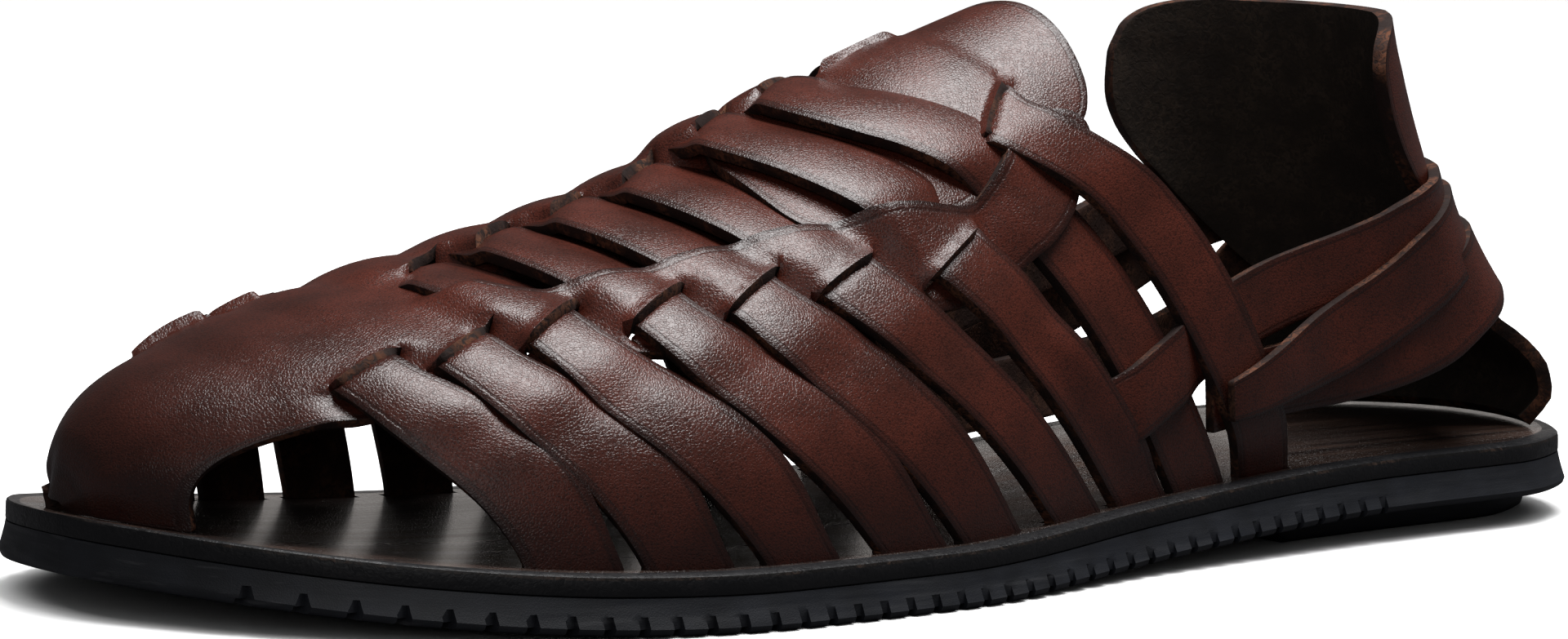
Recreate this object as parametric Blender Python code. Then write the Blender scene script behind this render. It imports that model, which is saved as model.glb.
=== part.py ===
# Woven leather huarache sandal, left shoe.
# The heel is at the origin, the toe points along -X and the outer side of the foot is at -Y.
import bpy
import bmesh
import math
from mathutils import Vector

# Driving dimensions, in metres
SOLE_LENGTH = 0.300
BALL_WIDTH = 0.1035
HEEL_CENTRE = 0.045
RUBBER_THICKNESS = 0.0057
INSOLE_THICKNESS = 0.0030
GAP = 0.0003
TOE_SPRING = 0.0072
TOE_SPRING_START = 0.212
HEEL_RISE = 0.0050
ARCH_START = 0.175
ARCH_RUN = 0.115
SOLE_FLARE = 0.0018
SOLE_EDGE_ROUND = 0.0012
SOLE_STATIONS = 50
SOLE_ENDS = (0.0015, 0.9825)

LIFT_LENGTH = 0.082
LIFT_INSET = 0.0080
LIFT_BEVEL = 0.0020
LIFT_THINNEST = 0.0010
LIFT_BACK = 0.030

GROOVE_PITCH = 0.0054
GROOVE_WIDTH = 0.0017
GROOVE_LENGTH = 0.014
GROOVE_DEPTH = 0.0011
NOTCH_HEIGHT = 0.0030
NOTCH_DEPTH = 0.0009
GROOVE_FIRST = 0.066
GROOVE_COUNT = 37
CUT_MARGIN = 0.002

INSTEP_HEIGHT = 0.0790
LEATHER = 0.0020
STRAP_WIDTH = 0.0113
FOOT_SLANT = 1.07
FOOT_MARGIN = 0.03
STRAP_SECTIONS = 28
FOOT_DEPTH = 0.0025
BAND_SECTIONS = 42
OVERLAP = 0.0006

COUNTER_HEIGHT = 0.0735
COUNTER_TURN = 0.07
COUNTER_LEATHER = 0.0024
COUNTER_RADIUS = 0.0310
OUTER_RUN = 0.060
INNER_RUN = 0.080
ANKLE_SECTIONS = 34
ANKLE_WIDTH = 0.0120

LEATHER_BROWN = (0.080, 0.022, 0.014, 1.0)
INNER_BROWN = (0.030, 0.014, 0.009, 1.0)
FOOTBED_BROWN = (0.050, 0.024, 0.015, 1.0)
RUBBER_BLACK = (0.014, 0.015, 0.019, 1.0)

# Sole outline. Lengths along the sole are shares of SOLE_LENGTH from the back of the heel,
# and the two edges are shares of BALL_WIDTH from the heel's axis.
# columns: along, outer edge, inner edge
SOLE_ROWS = [
    (0.000, 0.000, 0.000),
    (0.003, 0.074, 0.074),
    (0.013, 0.150, 0.150),
    (0.047, 0.262, 0.262),
    (0.100, 0.322, 0.322),
    (0.183, 0.335, 0.329),
    (0.400, 0.399, 0.267),
    (0.583, 0.498, 0.426),
    (0.683, 0.506, 0.461),
    (0.783, 0.453, 0.531),
    (0.873, 0.327, 0.547),
    (0.932, 0.159, 0.490),
    (0.967, -0.015, 0.380),
    (0.980, -0.108, 0.296),
    (0.984, -0.200, 0.200),
]

# Last under the upper. Heights are shares of INSTEP_HEIGHT above the footbed, and the crown
# and the foot line's inset from the sole's edge are shares of BALL_WIDTH.
# columns: along, height, crown, outer fullness, inner fullness, inset
LAST_ROWS = [
    (0.20, 1.150, 0.000, 2.60, 2.6, 0.072),
    (0.30, 1.060, 0.010, 2.10, 2.4, 0.072),
    (0.38, 0.980, 0.039, 1.88, 2.4, 0.072),
    (0.46, 0.890, 0.077, 1.84, 2.3, 0.072),
    (0.55, 0.770, 0.097, 1.85, 2.3, 0.072),
    (0.65, 0.630, 0.116, 1.90, 2.3, 0.072),
    (0.75, 0.518, 0.145, 2.10, 2.3, 0.082),
    (0.84, 0.415, 0.174, 2.30, 2.3, 0.101),
    (0.90, 0.315, 0.193, 2.30, 2.2, 0.132),
    (0.94, 0.195, 0.203, 2.10, 2.1, 0.161),
    (0.957, 0.125, 0.210, 2.00, 2.0, 0.174),
    (0.965, 0.060, 0.213, 2.00, 2.0, 0.210),
]

# Cross straps, toe to instep. Each number is a place along the sole.
# columns: outer foot, outer slit, ridge, inner shoulder, inner foot
CROSS_STRAPS = [
    (0.793, 0.857, 0.875, 0.875, 0.850),
    (0.735, 0.810, 0.830, 0.832, 0.805),
    (0.671, 0.762, 0.778, 0.780, 0.752),
    (0.596, 0.705, 0.725, 0.725, 0.695),
    (0.537, 0.653, 0.678, 0.675, 0.632),
    (0.463, 0.600, 0.632, 0.622, 0.568),
    (0.406, 0.535, 0.583, 0.567, 0.505),
    (0.357, 0.468, 0.535, 0.523, 0.450),
]
STRAP_PLACES = (-1.0, -0.45, -0.05, 0.45, 1.0)

# Collar strap. Places across run from -1 at the outer foot line over 0 at the crown to 1.
# columns: across, along
COLLAR_STRAP = [
    (-1.00, 0.301),
    (-0.82, 0.342),
    (-0.59, 0.392),
    (-0.345, 0.457),
    (0.10, 0.478),
    (0.50, 0.455),
    (1.00, 0.392),
]

# Toe piece, and the two bands that it splits into.
# columns: along, outer edge, inner edge
VAMP_ROWS = [
    (0.785, -0.46, 0.12),
    (0.830, -0.50, 0.20),
    (0.860, -0.585, 0.34),
    (0.890, -0.600, 0.50),
    (0.919, -0.668, 0.66),
    (0.932, -0.830, 0.85),
    (0.938, -1.000, 1.00),
    (0.965, -1.000, 1.00),
]
OUTER_BAND = [
    (0.418, -0.590, -0.550),
    (0.430, -0.640, -0.500),
    (0.470, -0.640, -0.450),
    (0.500, -0.590, -0.465),
    (0.565, -0.520, -0.406),
    (0.624, -0.480, -0.366),
    (0.690, -0.455, -0.337),
    (0.740, -0.450, -0.318),
    (0.800, -0.460, -0.280),
]
INNER_BAND = [
    (0.470, 0.030, 0.200),
    (0.500, -0.010, 0.230),
    (0.550, -0.030, 0.150),
    (0.624, -0.030, 0.110),
    (0.690, -0.050, 0.100),
    (0.740, -0.060, 0.100),
    (0.800, -0.100, 0.120),
]

# Tongue tab, tucked under the two rear cross straps.
# columns: along, outer edge, inner edge
TONGUE_ROWS = [
    (0.389, -0.330, -0.120),
    (0.396, -0.410, -0.010),
    (0.410, -0.450, 0.090),
    (0.440, -0.445, 0.165),
    (0.480, -0.420, 0.185),
    (0.530, -0.370, 0.150),
    (0.580, -0.310, 0.080),
    (0.590, -0.270, 0.020),
]

# Back of the heel. Heights are shares of COUNTER_HEIGHT above the footbed, the back is a
# share of HEEL_CENTRE, the radius a share of COUNTER_RADIUS, and the span 1 at a half turn.
# columns: height, back, radius, span
COUNTER_ROWS = [
    (0.000, 0.890, 0.92, 0.50),
    (0.080, 0.975, 1.03, 0.53),
    (0.145, 0.950, 1.04, 0.53),
    (0.215, 0.845, 1.03, 0.48),
    (0.265, 0.725, 1.01, 0.46),
    (0.392, 0.520, 1.00, 0.56),
    (0.550, 0.315, 1.00, 0.72),
    (0.680, 0.200, 1.02, 0.83),
    (0.850, 0.090, 1.02, 0.84),
    (0.950, 0.035, 1.01, 0.70),
    (1.000, 0.015, 1.01, 0.36),
]

# Ankle straps. Turn is 0 at the back, 1 at the heel's side and then OUTER_RUN or INNER_RUN
# forward for each 1 more. Heights are shares of COUNTER_HEIGHT.
# columns: turn, height
UPPER_ANKLE = [(0.0, 0.585), (0.45, 0.570), (1.0, 0.500), (1.5, 0.410), (2.0, 0.300), (2.35, 0.200)]
MIDDLE_ANKLE = [(0.0, 0.540), (0.45, 0.525), (1.0, 0.420), (1.55, 0.310), (2.0, 0.235), (2.30, 0.190)]
LOWER_ANKLE = [(0.0, 0.465), (0.45, 0.440), (1.0, 0.340), (1.5, 0.245), (1.95, 0.170)]
ANKLE_LIFTS = (GAP, GAP + LEATHER - OVERLAP, GAP + 0.5 * LEATHER)
OUTER_SPREAD = 0.05
INNER_SPREAD = -0.13


def smooth(rows, column, at):
    """Monotone cubic through one column of a table, read at a place in its first column."""
    places = [row[0] for row in rows]
    values = [row[column] for row in rows]
    if at <= places[0]:
        return values[0]
    if at >= places[-1]:
        return values[-1]
    steps = [b - a for a, b in zip(places, places[1:])]
    slopes = [(b - a) / step for a, b, step in zip(values, values[1:], steps)]
    k = max(i for i, place in enumerate(places[:-1]) if place <= at)

    def tangent(i):
        if i == 0 or i == len(places) - 1:
            return slopes[min(i, len(slopes) - 1)]
        before, after = slopes[i - 1], slopes[i]
        if before * after <= 0:
            return 0.0
        first = 2 * steps[i] + steps[i - 1]
        second = steps[i] + 2 * steps[i - 1]
        return (first + second) / (first / before + second / after)

    t = (at - places[k]) / steps[k]
    rise = steps[k] * (tangent(k) * t * (1 - t) ** 2 - tangent(k + 1) * t * t * (1 - t))
    return values[k] * (1 + 2 * t) * (1 - t) ** 2 + values[k + 1] * t * t * (3 - 2 * t) + rise


def ease(t):
    """Soft step from 0 to 1."""
    t = min(1.0, max(0.0, t))
    return t * t * (3 - 2 * t)


def underside(along):
    """Height of the rubber's underside above the floor."""
    place = along * SOLE_LENGTH
    toe = max(0.0, place - TOE_SPRING_START) / (SOLE_LENGTH - TOE_SPRING_START)
    return TOE_SPRING * toe ** 2 + HEEL_RISE * ease((ARCH_START - place) / ARCH_RUN)


def footbed(along):
    """Height of the insole's top face above the floor."""
    return underside(along) + RUBBER_THICKNESS + GAP + INSOLE_THICKNESS


def sole_edge(along, side):
    """Y of the sole's edge, outer for side -1 and inner for side 1."""
    column = 1 if side < 0 else 2
    return side * smooth(SOLE_ROWS, column, along) * BALL_WIDTH


def last_point(along, across):
    """Point on the last: across is -1 at the outer foot line, 0 at the crown, 1 inside."""
    side = -1 if across < 0 else 1
    crown = smooth(LAST_ROWS, 2, along) * BALL_WIDTH
    height = smooth(LAST_ROWS, 1, along) * INSTEP_HEIGHT
    power = 2 / smooth(LAST_ROWS, 3 if side < 0 else 4, along)
    foot = sole_edge(along, side) - side * smooth(LAST_ROWS, 5, along) * BALL_WIDTH
    angle = (1 - min(1.0, abs(across))) * math.pi / 2
    y = crown + (foot - crown) * max(0.0, math.cos(angle)) ** power
    z = footbed(along) + GAP + height * math.sin(angle) ** power
    return Vector((HEEL_CENTRE - along * SOLE_LENGTH, y, z))


def last_normal(along, across):
    """Outward direction of the last."""
    step = 0.004
    across = min(1 - 2 * step, max(-1 + 2 * step, across))
    run = last_point(along - step, across) - last_point(along + step, across)
    turn = last_point(along, across + step) - last_point(along, across - step)
    return run.cross(turn).normalized()


def on_last(along, across, lift):
    return last_point(along, across) + last_normal(along, across) * lift


def wall_point(turn, height, lift):
    """Point on the heel's outer wall, height above the footbed at the heel."""
    share = height / COUNTER_HEIGHT
    radius = smooth(COUNTER_ROWS, 2, share) * COUNTER_RADIUS
    centre = smooth(COUNTER_ROWS, 1, share) * HEEL_CENTRE - radius
    side = -1 if turn < 0 else 1
    angle = min(1.0, abs(turn)) * math.pi / 2
    run, spread = (OUTER_RUN, OUTER_SPREAD) if side < 0 else (INNER_RUN, INNER_SPREAD)
    ahead = max(0.0, abs(turn) - 1) * run
    x = centre + (radius + lift) * math.cos(angle) - ahead
    y = side * ((radius + lift) * math.sin(angle) + ahead * spread)
    along = (HEEL_CENTRE - x) / SOLE_LENGTH
    return Vector((x, y, footbed(max(0.0, along)) + GAP + height))


def new_material(name, colour, roughness):
    material = bpy.data.materials.new(name)
    material.use_nodes = True
    shader = material.node_tree.nodes["Principled BSDF"]
    shader.inputs["Base Color"].default_value = colour
    shader.inputs["Roughness"].default_value = roughness
    shader.inputs["Metallic"].default_value = 0.0
    return material


def add_object(name, mesh_data, collection, material=None):
    mesh = bpy.data.meshes.new(name)
    bmesh.ops.recalc_face_normals(mesh_data, faces=mesh_data.faces)
    mesh_data.to_mesh(mesh)
    mesh_data.free()
    item = bpy.data.objects.new(name, mesh)
    collection.objects.link(item)
    if material:
        mesh.materials.append(material)
    return item


def loft(rings):
    """Closed solid through rings with the same number of points, capped at both ends."""
    solid = bmesh.new()
    loops = [[solid.verts.new(point) for point in ring] for ring in rings]
    count = len(rings[0])
    for first, second in zip(loops, loops[1:]):
        for i in range(count):
            j = (i + 1) % count
            solid.faces.new((first[i], first[j], second[j], second[i]))
    solid.faces.new(loops[0])
    solid.faces.new(loops[-1])
    return solid


def sheet(rows):
    """Closed wall from a grid whose cells are pairs of an inner and an outer point."""
    solid = bmesh.new()
    inner = [[solid.verts.new(pair[0]) for pair in row] for row in rows]
    outer = [[solid.verts.new(pair[1]) for pair in row] for row in rows]
    last_row = len(rows) - 1
    last_column = len(rows[0]) - 1
    for r in range(last_row):
        for c in range(last_column):
            for grid in (inner, outer):
                solid.faces.new((grid[r][c], grid[r + 1][c], grid[r + 1][c + 1], grid[r][c + 1]))
    for r in range(last_row):
        for c in (0, last_column):
            solid.faces.new((inner[r][c], outer[r][c], outer[r + 1][c], inner[r + 1][c]))
    for c in range(last_column):
        for r in (0, last_row):
            solid.faces.new((inner[r][c], inner[r][c + 1], outer[r][c + 1], outer[r][c]))
    return solid


def sole_stations(count, first, final):
    """Places along the sole, closer together at the round ends."""
    middle = (first + final) / 2
    reach = (final - first) / 2
    return [middle - reach * math.cos(math.pi * i / count) for i in range(count + 1)]


def make_outsole(collection, material):
    rings = []
    for along in sole_stations(SOLE_STATIONS, *SOLE_ENDS):
        x = HEEL_CENTRE - along * SOLE_LENGTH
        low = underside(along)
        high = low + RUBBER_THICKNESS
        outer = sole_edge(along, -1)
        inner = sole_edge(along, 1)
        spread = SOLE_FLARE * min(1.0, (inner - outer) / (8 * SOLE_FLARE))
        rings.append([
            (x, outer - spread + SOLE_EDGE_ROUND * spread / SOLE_FLARE, low),
            (x, outer - spread, low + SOLE_EDGE_ROUND),
            (x, outer, high),
            (x, inner, high),
            (x, inner + spread, low + SOLE_EDGE_ROUND),
            (x, inner + spread - SOLE_EDGE_ROUND * spread / SOLE_FLARE, low),
        ])
    return add_object("outsole", loft(rings), collection, material)


def make_groove_cutter(collection):
    """Tread grooves under both edges, each ending in a taller notch in the sole's side."""
    grooves = bmesh.new()
    for i in range(GROOVE_COUNT):
        place = GROOVE_FIRST + i * GROOVE_PITCH
        along = place / SOLE_LENGTH
        low = underside(along)
        for side in (-1, 1):
            edge = sole_edge(along, side) + side * SOLE_FLARE
            beyond = edge + side * 2 * CUT_MARGIN
            notch = edge - side * NOTCH_DEPTH
            inside = edge - side * GROOVE_LENGTH
            profile = [
                (beyond, low - CUT_MARGIN),
                (inside, low - CUT_MARGIN),
                (inside, low + GROOVE_DEPTH),
                (notch, low + GROOVE_DEPTH),
                (notch, low + NOTCH_HEIGHT),
                (beyond, low + NOTCH_HEIGHT),
            ]
            loops = []
            for shift in (-0.5, 0.5):
                x = HEEL_CENTRE - place + shift * GROOVE_WIDTH
                loops.append([grooves.verts.new((x, y, z)) for y, z in profile])
            count = len(profile)
            for a in range(count):
                b = (a + 1) % count
                grooves.faces.new((loops[0][a], loops[0][b], loops[1][b], loops[1][a]))
            grooves.faces.new(loops[0])
            grooves.faces.new(loops[1])
    return add_object("groove_cutter", grooves, collection)


def make_heel_lift(collection, material):
    rings = []
    final = LIFT_LENGTH / SOLE_LENGTH
    for along in sole_stations(26, LIFT_BACK, final):
        x = HEEL_CENTRE - along * SOLE_LENGTH
        outer = sole_edge(along, -1) + LIFT_INSET
        inner = sole_edge(along, 1) - LIFT_INSET
        end = (x - (HEEL_CENTRE - LIFT_LENGTH)) / LIFT_BEVEL
        bevel = LIFT_BEVEL * min(1.0, (inner - outer) / (4 * LIFT_BEVEL))
        low = 0.0 if end > 1 else LIFT_BEVEL * (1 - max(0.0, end)) * 0.5
        high = max(low + LIFT_THINNEST, underside(along) - GAP)
        rings.append([
            (x, outer + bevel, low),
            (x, outer, low + LIFT_BEVEL * 0.7),
            (x, outer, high),
            (x, inner, high),
            (x, inner, low + LIFT_BEVEL * 0.7),
            (x, inner - bevel, low),
        ])
    return add_object("heel_lift", loft(rings), collection, material)


def make_insole(collection, material):
    rings = []
    for along in sole_stations(SOLE_STATIONS - 6, *SOLE_ENDS):
        x = HEEL_CENTRE - along * SOLE_LENGTH
        high = footbed(along)
        low = high - INSOLE_THICKNESS
        outer = sole_edge(along, -1)
        inner = sole_edge(along, 1)
        rings.append([(x, outer, low), (x, outer, high), (x, inner, high), (x, inner, low)])
    return add_object("insole", loft(rings), collection, material)


def strap_rows(strap):
    return list(zip(STRAP_PLACES, strap))


def strap_half_width(rows, across, width):
    """Half the strap's width along the sole, widened where the strap runs aslant."""
    step = 0.02
    before = last_point(smooth(rows, 1, across - step), across - step)
    after = last_point(smooth(rows, 1, across + step), across + step)
    run = after - before
    slant = abs(run.x) / max(run.length, 1e-6)
    widened = min(FOOT_SLANT + 0.35 * (1 - abs(across)), 1 / math.sqrt(max(0.3, 1 - slant * slant)))
    return width / 2 / SOLE_LENGTH * widened


def strap_lift(number, across):
    """How far a cross strap stands off the last: it runs over the toe piece and the tongue."""
    if number < 2:
        over_outer = ease((-0.42 - across) / 0.06) * (1 - ease((-0.68 - across) / 0.22))
        over_inner = ease((across - 0.12) / 0.06) * (1 - ease((across - 0.50) / 0.25))
        return (LEATHER + GAP) * max(over_outer, over_inner)
    over_band = ease((-0.40 - across) / 0.06) * (1 - ease((-0.56 - across) / 0.16))
    lift = 0.6 * LEATHER * over_band
    if number > 5:
        lift = max(lift, (LEATHER + GAP) * (1 - ease((abs(across + 0.15) - 0.38) / 0.10)))
    return lift


def collar_lift(across):
    """The collar strap lies over the tongue's edges and under its middle."""
    over = LEATHER + GAP
    under = 1 - ease((abs(across + 0.125) - 0.185) / 0.085)
    near = 1 - ease((abs(across + 0.125) - 0.36) / 0.30)
    return over * near * (1 - under) - over * under


def strap_rings(rows, lift_at, width, thickness, low_lift):
    """Cross sections of a strap from one foot to the other, with its ends in the insole."""
    rings = []
    for i in range(STRAP_SECTIONS + 1):
        across = -1 + 2 * i / STRAP_SECTIONS
        along = smooth(rows, 1, across)
        half = strap_half_width(rows, max(-1 + FOOT_MARGIN, min(1 - FOOT_MARGIN, across)), width)
        low = lift_at(across) + low_lift
        ring = [
            on_last(along - half, across, low),
            on_last(along + half, across, low),
            on_last(along + half, across, low + thickness),
            on_last(along - half, across, low + thickness),
        ]
        rings.append(ring)
    drop = Vector((0, 0, -FOOT_DEPTH - GAP))
    rings.insert(0, [point + drop for point in rings[0]])
    rings.append([point + drop for point in rings[-1]])
    return rings


def foot_slot(rings, slots):
    """Slot in the insole around one end of a strap, GAP clear of it all round."""
    top, foot = rings
    centre = sum(top, Vector()) / 4
    run = (top[1] - top[0]).normalized()
    out = (top[3] - top[0]).normalized()
    half_run = (top[1] - top[0]).length / 2 + GAP
    half_out = (top[3] - top[0]).length / 2 + GAP
    loops = []
    for height in (CUT_MARGIN, -INSOLE_THICKNESS - CUT_MARGIN):
        corners = []
        for a, b in ((-1, -1), (1, -1), (1, 1), (-1, 1)):
            corner = centre + run * (a * half_run) + out * (b * half_out)
            corners.append(slots.verts.new(corner + Vector((0, 0, height))))
        loops.append(corners)
    for a in range(4):
        b = (a + 1) % 4
        slots.faces.new((loops[0][a], loops[0][b], loops[1][b], loops[1][a]))
    slots.faces.new(loops[0])
    slots.faces.new(loops[1])


def make_vamp(collection):
    """Toe piece, from the tip of the sole to where it splits into the two bands."""
    places = [0.965, 0.957, 0.948, 0.938, 0.932, 0.925, 0.915, 0.903, 0.890, 0.872, 0.852, 0.830, 0.808, 0.785]
    rows = []
    for along in places:
        outer = smooth(VAMP_ROWS, 1, along)
        inner = smooth(VAMP_ROWS, 2, along)
        lift = 0.6 * LEATHER * ease((0.94 - along) / 0.03)
        row = []
        for i in range(15):
            across = outer + (inner - outer) * i / 14
            low = on_last(along, across, lift)
            row.append((low, on_last(along, across, lift + LEATHER)))
        rows.append(row)
    return add_object("toe_piece", sheet(rows), collection)


def band_lift(along, across):
    """A band rides up over each strap that passes under it."""
    rise = 0.0
    for strap in CROSS_STRAPS:
        centre = smooth(strap_rows(strap), 1, across)
        away = abs(along - centre) * SOLE_LENGTH
        rise = max(rise, 1 - ease((away - STRAP_WIDTH * 0.35) / (STRAP_WIDTH * 0.35)))
    return OVERLAP + (LEATHER - 2 * OVERLAP) * rise


def make_band(name, table, collection):
    rings = []
    first, final = table[0][0], table[-1][0]
    for i in range(BAND_SECTIONS + 1):
        along = first + (final - first) * i / BAND_SECTIONS
        outer = smooth(table, 1, along)
        inner = smooth(table, 2, along)
        middle = (outer + inner) / 2
        low = band_lift(along, middle) + LEATHER * ease((0.62 - along) / 0.05)
        rings.append([
            on_last(along, outer, low),
            on_last(along, middle, low),
            on_last(along, inner, low),
            on_last(along, inner, low + LEATHER),
            on_last(along, middle, low + LEATHER),
            on_last(along, outer, low + LEATHER),
        ])
    return add_object(name, loft(rings), collection)


def make_ankle_strap(name, table, lift, collection):
    reach = table[-1][0]
    rings = []
    for i in range(ANKLE_SECTIONS + 1):
        turn = reach * (2 * i / ANKLE_SECTIONS - 1)
        height = smooth(table, 1, abs(turn)) * COUNTER_HEIGHT
        lean = wall_point(turn, height + GAP, 0) - wall_point(turn, height - GAP, 0)
        step = 0.05
        ahead = smooth(table, 1, abs(turn) + step) - smooth(table, 1, max(0.0, abs(turn) - step))
        slope = ahead * COUNTER_HEIGHT / (2 * step * OUTER_RUN * 0.85)
        half = ANKLE_WIDTH * GAP / lean.length * math.sqrt(1 + slope * slope)
        rings.append([
            wall_point(turn, height - half, lift),
            wall_point(turn, height + half, lift),
            wall_point(turn, height + half, lift + LEATHER),
            wall_point(turn, height - half, lift + LEATHER),
        ])
    return add_object(name, loft(rings), collection)


def make_tongue(collection, material):
    """Rounded tab at the top of the instep, on the last and under the rear straps."""
    rows = []
    first, final = TONGUE_ROWS[0][0], TONGUE_ROWS[-1][0]
    for i in range(13):
        along = first + (final - first) * ease(i / 12)
        outer = smooth(TONGUE_ROWS, 1, along)
        inner = smooth(TONGUE_ROWS, 2, along)
        row = []
        for k in range(9):
            across = outer + (inner - outer) * k / 8
            row.append((on_last(along, across, 0.0), on_last(along, across, LEATHER)))
        rows.append(row)
    return add_object("tongue_tab", sheet(rows), collection, material)


def make_counter(collection, material):
    """Heel counter: one leather piece, wide at the foot and the tab and narrow between."""
    rows = []
    for i in range(19):
        height = COUNTER_HEIGHT * math.sin(math.pi / 2 * i / 18) ** 0.9
        span = smooth(COUNTER_ROWS, 3, height / COUNTER_HEIGHT)
        row = []
        for k in range(15):
            turn = span * (k / 7 - 1) + COUNTER_TURN
            row.append((wall_point(turn, height, -COUNTER_LEATHER), wall_point(turn, height, 0.0)))
        rows.append(row)
    return add_object("heel_counter", sheet(rows), collection, material)


def add_boolean(item, operation, other, solver="EXACT"):
    modifier = item.modifiers.new(other.name, "BOOLEAN")
    modifier.operation = operation
    modifier.solver = solver
    modifier.object = other


def hide_guides(collection):
    for item in collection.objects:
        item.hide_render = True
        item.display_type = "WIRE"


def main():
    for item in list(bpy.data.objects):
        bpy.data.objects.remove(item)
    sandal = bpy.data.collections.new("huarache_sandal")
    cutters = bpy.data.collections.new("cutters")
    weave = bpy.data.collections.new("weave")
    for collection in (sandal, cutters, weave):
        bpy.context.scene.collection.children.link(collection)

    leather = new_material("burnished_leather", LEATHER_BROWN, 0.38)
    inner_leather = new_material("inner_leather", INNER_BROWN, 0.60)
    footbed_leather = new_material("footbed_leather", FOOTBED_BROWN, 0.32)
    rubber = new_material("black_rubber", RUBBER_BLACK, 0.55)

    outsole = make_outsole(sandal, rubber)
    add_boolean(outsole, "DIFFERENCE", make_groove_cutter(cutters))
    make_heel_lift(sandal, rubber)
    insole = make_insole(sandal, footbed_leather)

    slots = bmesh.new()
    for number, strap in enumerate(CROSS_STRAPS):
        rows = strap_rows(strap)
        rings = strap_rings(rows, lambda v, n=number: strap_lift(n, v), STRAP_WIDTH, LEATHER, 0.0)
        foot_slot((rings[1], rings[0]), slots)
        foot_slot((rings[-2], rings[-1]), slots)
        add_object("cross_strap_%d" % (number + 1), loft(rings), weave)
    rings = strap_rings(COLLAR_STRAP, collar_lift, STRAP_WIDTH, LEATHER, 0.0)
    foot_slot((rings[1], rings[0]), slots)
    foot_slot((rings[-2], rings[-1]), slots)
    add_object("collar_strap", loft(rings), weave)
    add_boolean(insole, "DIFFERENCE", add_object("slot_cutter", slots, cutters))

    make_band("outer_band", OUTER_BAND, weave)
    make_band("inner_band", INNER_BAND, weave)
    make_ankle_strap("upper_ankle_strap", UPPER_ANKLE, ANKLE_LIFTS[0], weave)
    make_ankle_strap("middle_ankle_strap", MIDDLE_ANKLE, ANKLE_LIFTS[1], weave)
    make_ankle_strap("lower_ankle_strap", LOWER_ANKLE, ANKLE_LIFTS[2], weave)

    upper = make_vamp(sandal)
    upper.name = "upper"
    upper.data.materials.append(leather)
    for strap in weave.objects:
        add_boolean(upper, "UNION", strap, "MANIFOLD")

    tongue = make_tongue(sandal, leather)
    passage = strap_rings(COLLAR_STRAP, collar_lift, STRAP_WIDTH + 2 * GAP, LEATHER + 2 * GAP, -GAP)
    add_boolean(tongue, "DIFFERENCE", add_object("collar_passage", loft(passage), cutters))
    make_counter(sandal, inner_leather)
    hide_guides(cutters)
    hide_guides(weave)


main()
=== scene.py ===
# Woven leather huarache sandal, left shoe: the leather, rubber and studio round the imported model.
import math

import bmesh
import bpy
import numpy as np
from mathutils import Matrix, Vector, noise
from mathutils.geometry import delaunay_2d_cdt


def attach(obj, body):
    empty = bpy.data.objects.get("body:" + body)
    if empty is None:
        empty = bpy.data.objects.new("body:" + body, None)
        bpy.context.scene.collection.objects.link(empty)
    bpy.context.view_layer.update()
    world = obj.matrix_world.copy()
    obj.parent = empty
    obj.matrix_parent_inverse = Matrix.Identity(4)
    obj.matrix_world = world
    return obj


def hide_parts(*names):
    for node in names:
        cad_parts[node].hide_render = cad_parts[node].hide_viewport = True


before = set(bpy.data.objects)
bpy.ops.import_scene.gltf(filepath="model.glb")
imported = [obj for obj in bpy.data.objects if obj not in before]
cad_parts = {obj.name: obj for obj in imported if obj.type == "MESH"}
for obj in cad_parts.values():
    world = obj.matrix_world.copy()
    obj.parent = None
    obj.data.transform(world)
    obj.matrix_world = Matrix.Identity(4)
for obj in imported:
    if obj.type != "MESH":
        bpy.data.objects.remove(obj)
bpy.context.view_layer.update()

# The last that the leather lies on. Shares run along the sole from the back of the heel, and
# across from -1 at the outer foot line over 0 at the crown to 1 at the inner foot line.
last = {
    "length": 0.300, "ballWidth": 0.1035, "heelCentre": 0.045, "instep": 0.0790,
    "rubber": 0.0057, "insole": 0.0030, "gap": 0.0003,
    "toeSpring": 0.0072, "toeSpringStart": 0.212,
    "heelRise": 0.0050, "archStart": 0.175, "archRun": 0.115,
    "innerToe": 0.0025,  # least width of the last on the inner side of the crown, at the toe
    "sole": [  # along, outer edge, inner edge
        (0.000, 0.000, 0.000), (0.003, 0.074, 0.074), (0.013, 0.150, 0.150), (0.047, 0.262, 0.262),
        (0.100, 0.322, 0.322), (0.183, 0.335, 0.329), (0.400, 0.399, 0.267), (0.583, 0.498, 0.426),
        (0.683, 0.506, 0.461), (0.783, 0.453, 0.531), (0.873, 0.327, 0.547), (0.932, 0.159, 0.482),
        (0.967, -0.015, 0.362), (0.980, -0.108, 0.262), (0.984, -0.190, 0.170),
    ],
    "form": [  # along, height, crown, outer fullness, inner fullness, inset
        (0.20, 1.150, 0.000, 2.60, 2.6, 0.072), (0.30, 1.060, 0.010, 2.10, 2.4, 0.072),
        (0.38, 0.980, 0.039, 1.88, 2.4, 0.072), (0.46, 0.890, 0.077, 1.84, 2.3, 0.072),
        (0.55, 0.770, 0.097, 1.85, 2.3, 0.072), (0.65, 0.630, 0.116, 1.90, 2.3, 0.072),
        (0.75, 0.518, 0.145, 2.10, 2.3, 0.082), (0.84, 0.415, 0.174, 2.30, 2.3, 0.101),
        (0.90, 0.315, 0.193, 2.30, 2.2, 0.132), (0.94, 0.195, 0.203, 2.10, 2.1, 0.161),
        (0.957, 0.105, 0.210, 2.00, 2.0, 0.174), (0.964, 0.004, 0.213, 2.00, 2.0, 0.205),
    ],
}
leatherThickness = 0.0020
blankWidth = 75.0   # millimetres of cut leather for 1 across
blankLength = 300.0 # millimetres of cut leather for 1 along


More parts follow.
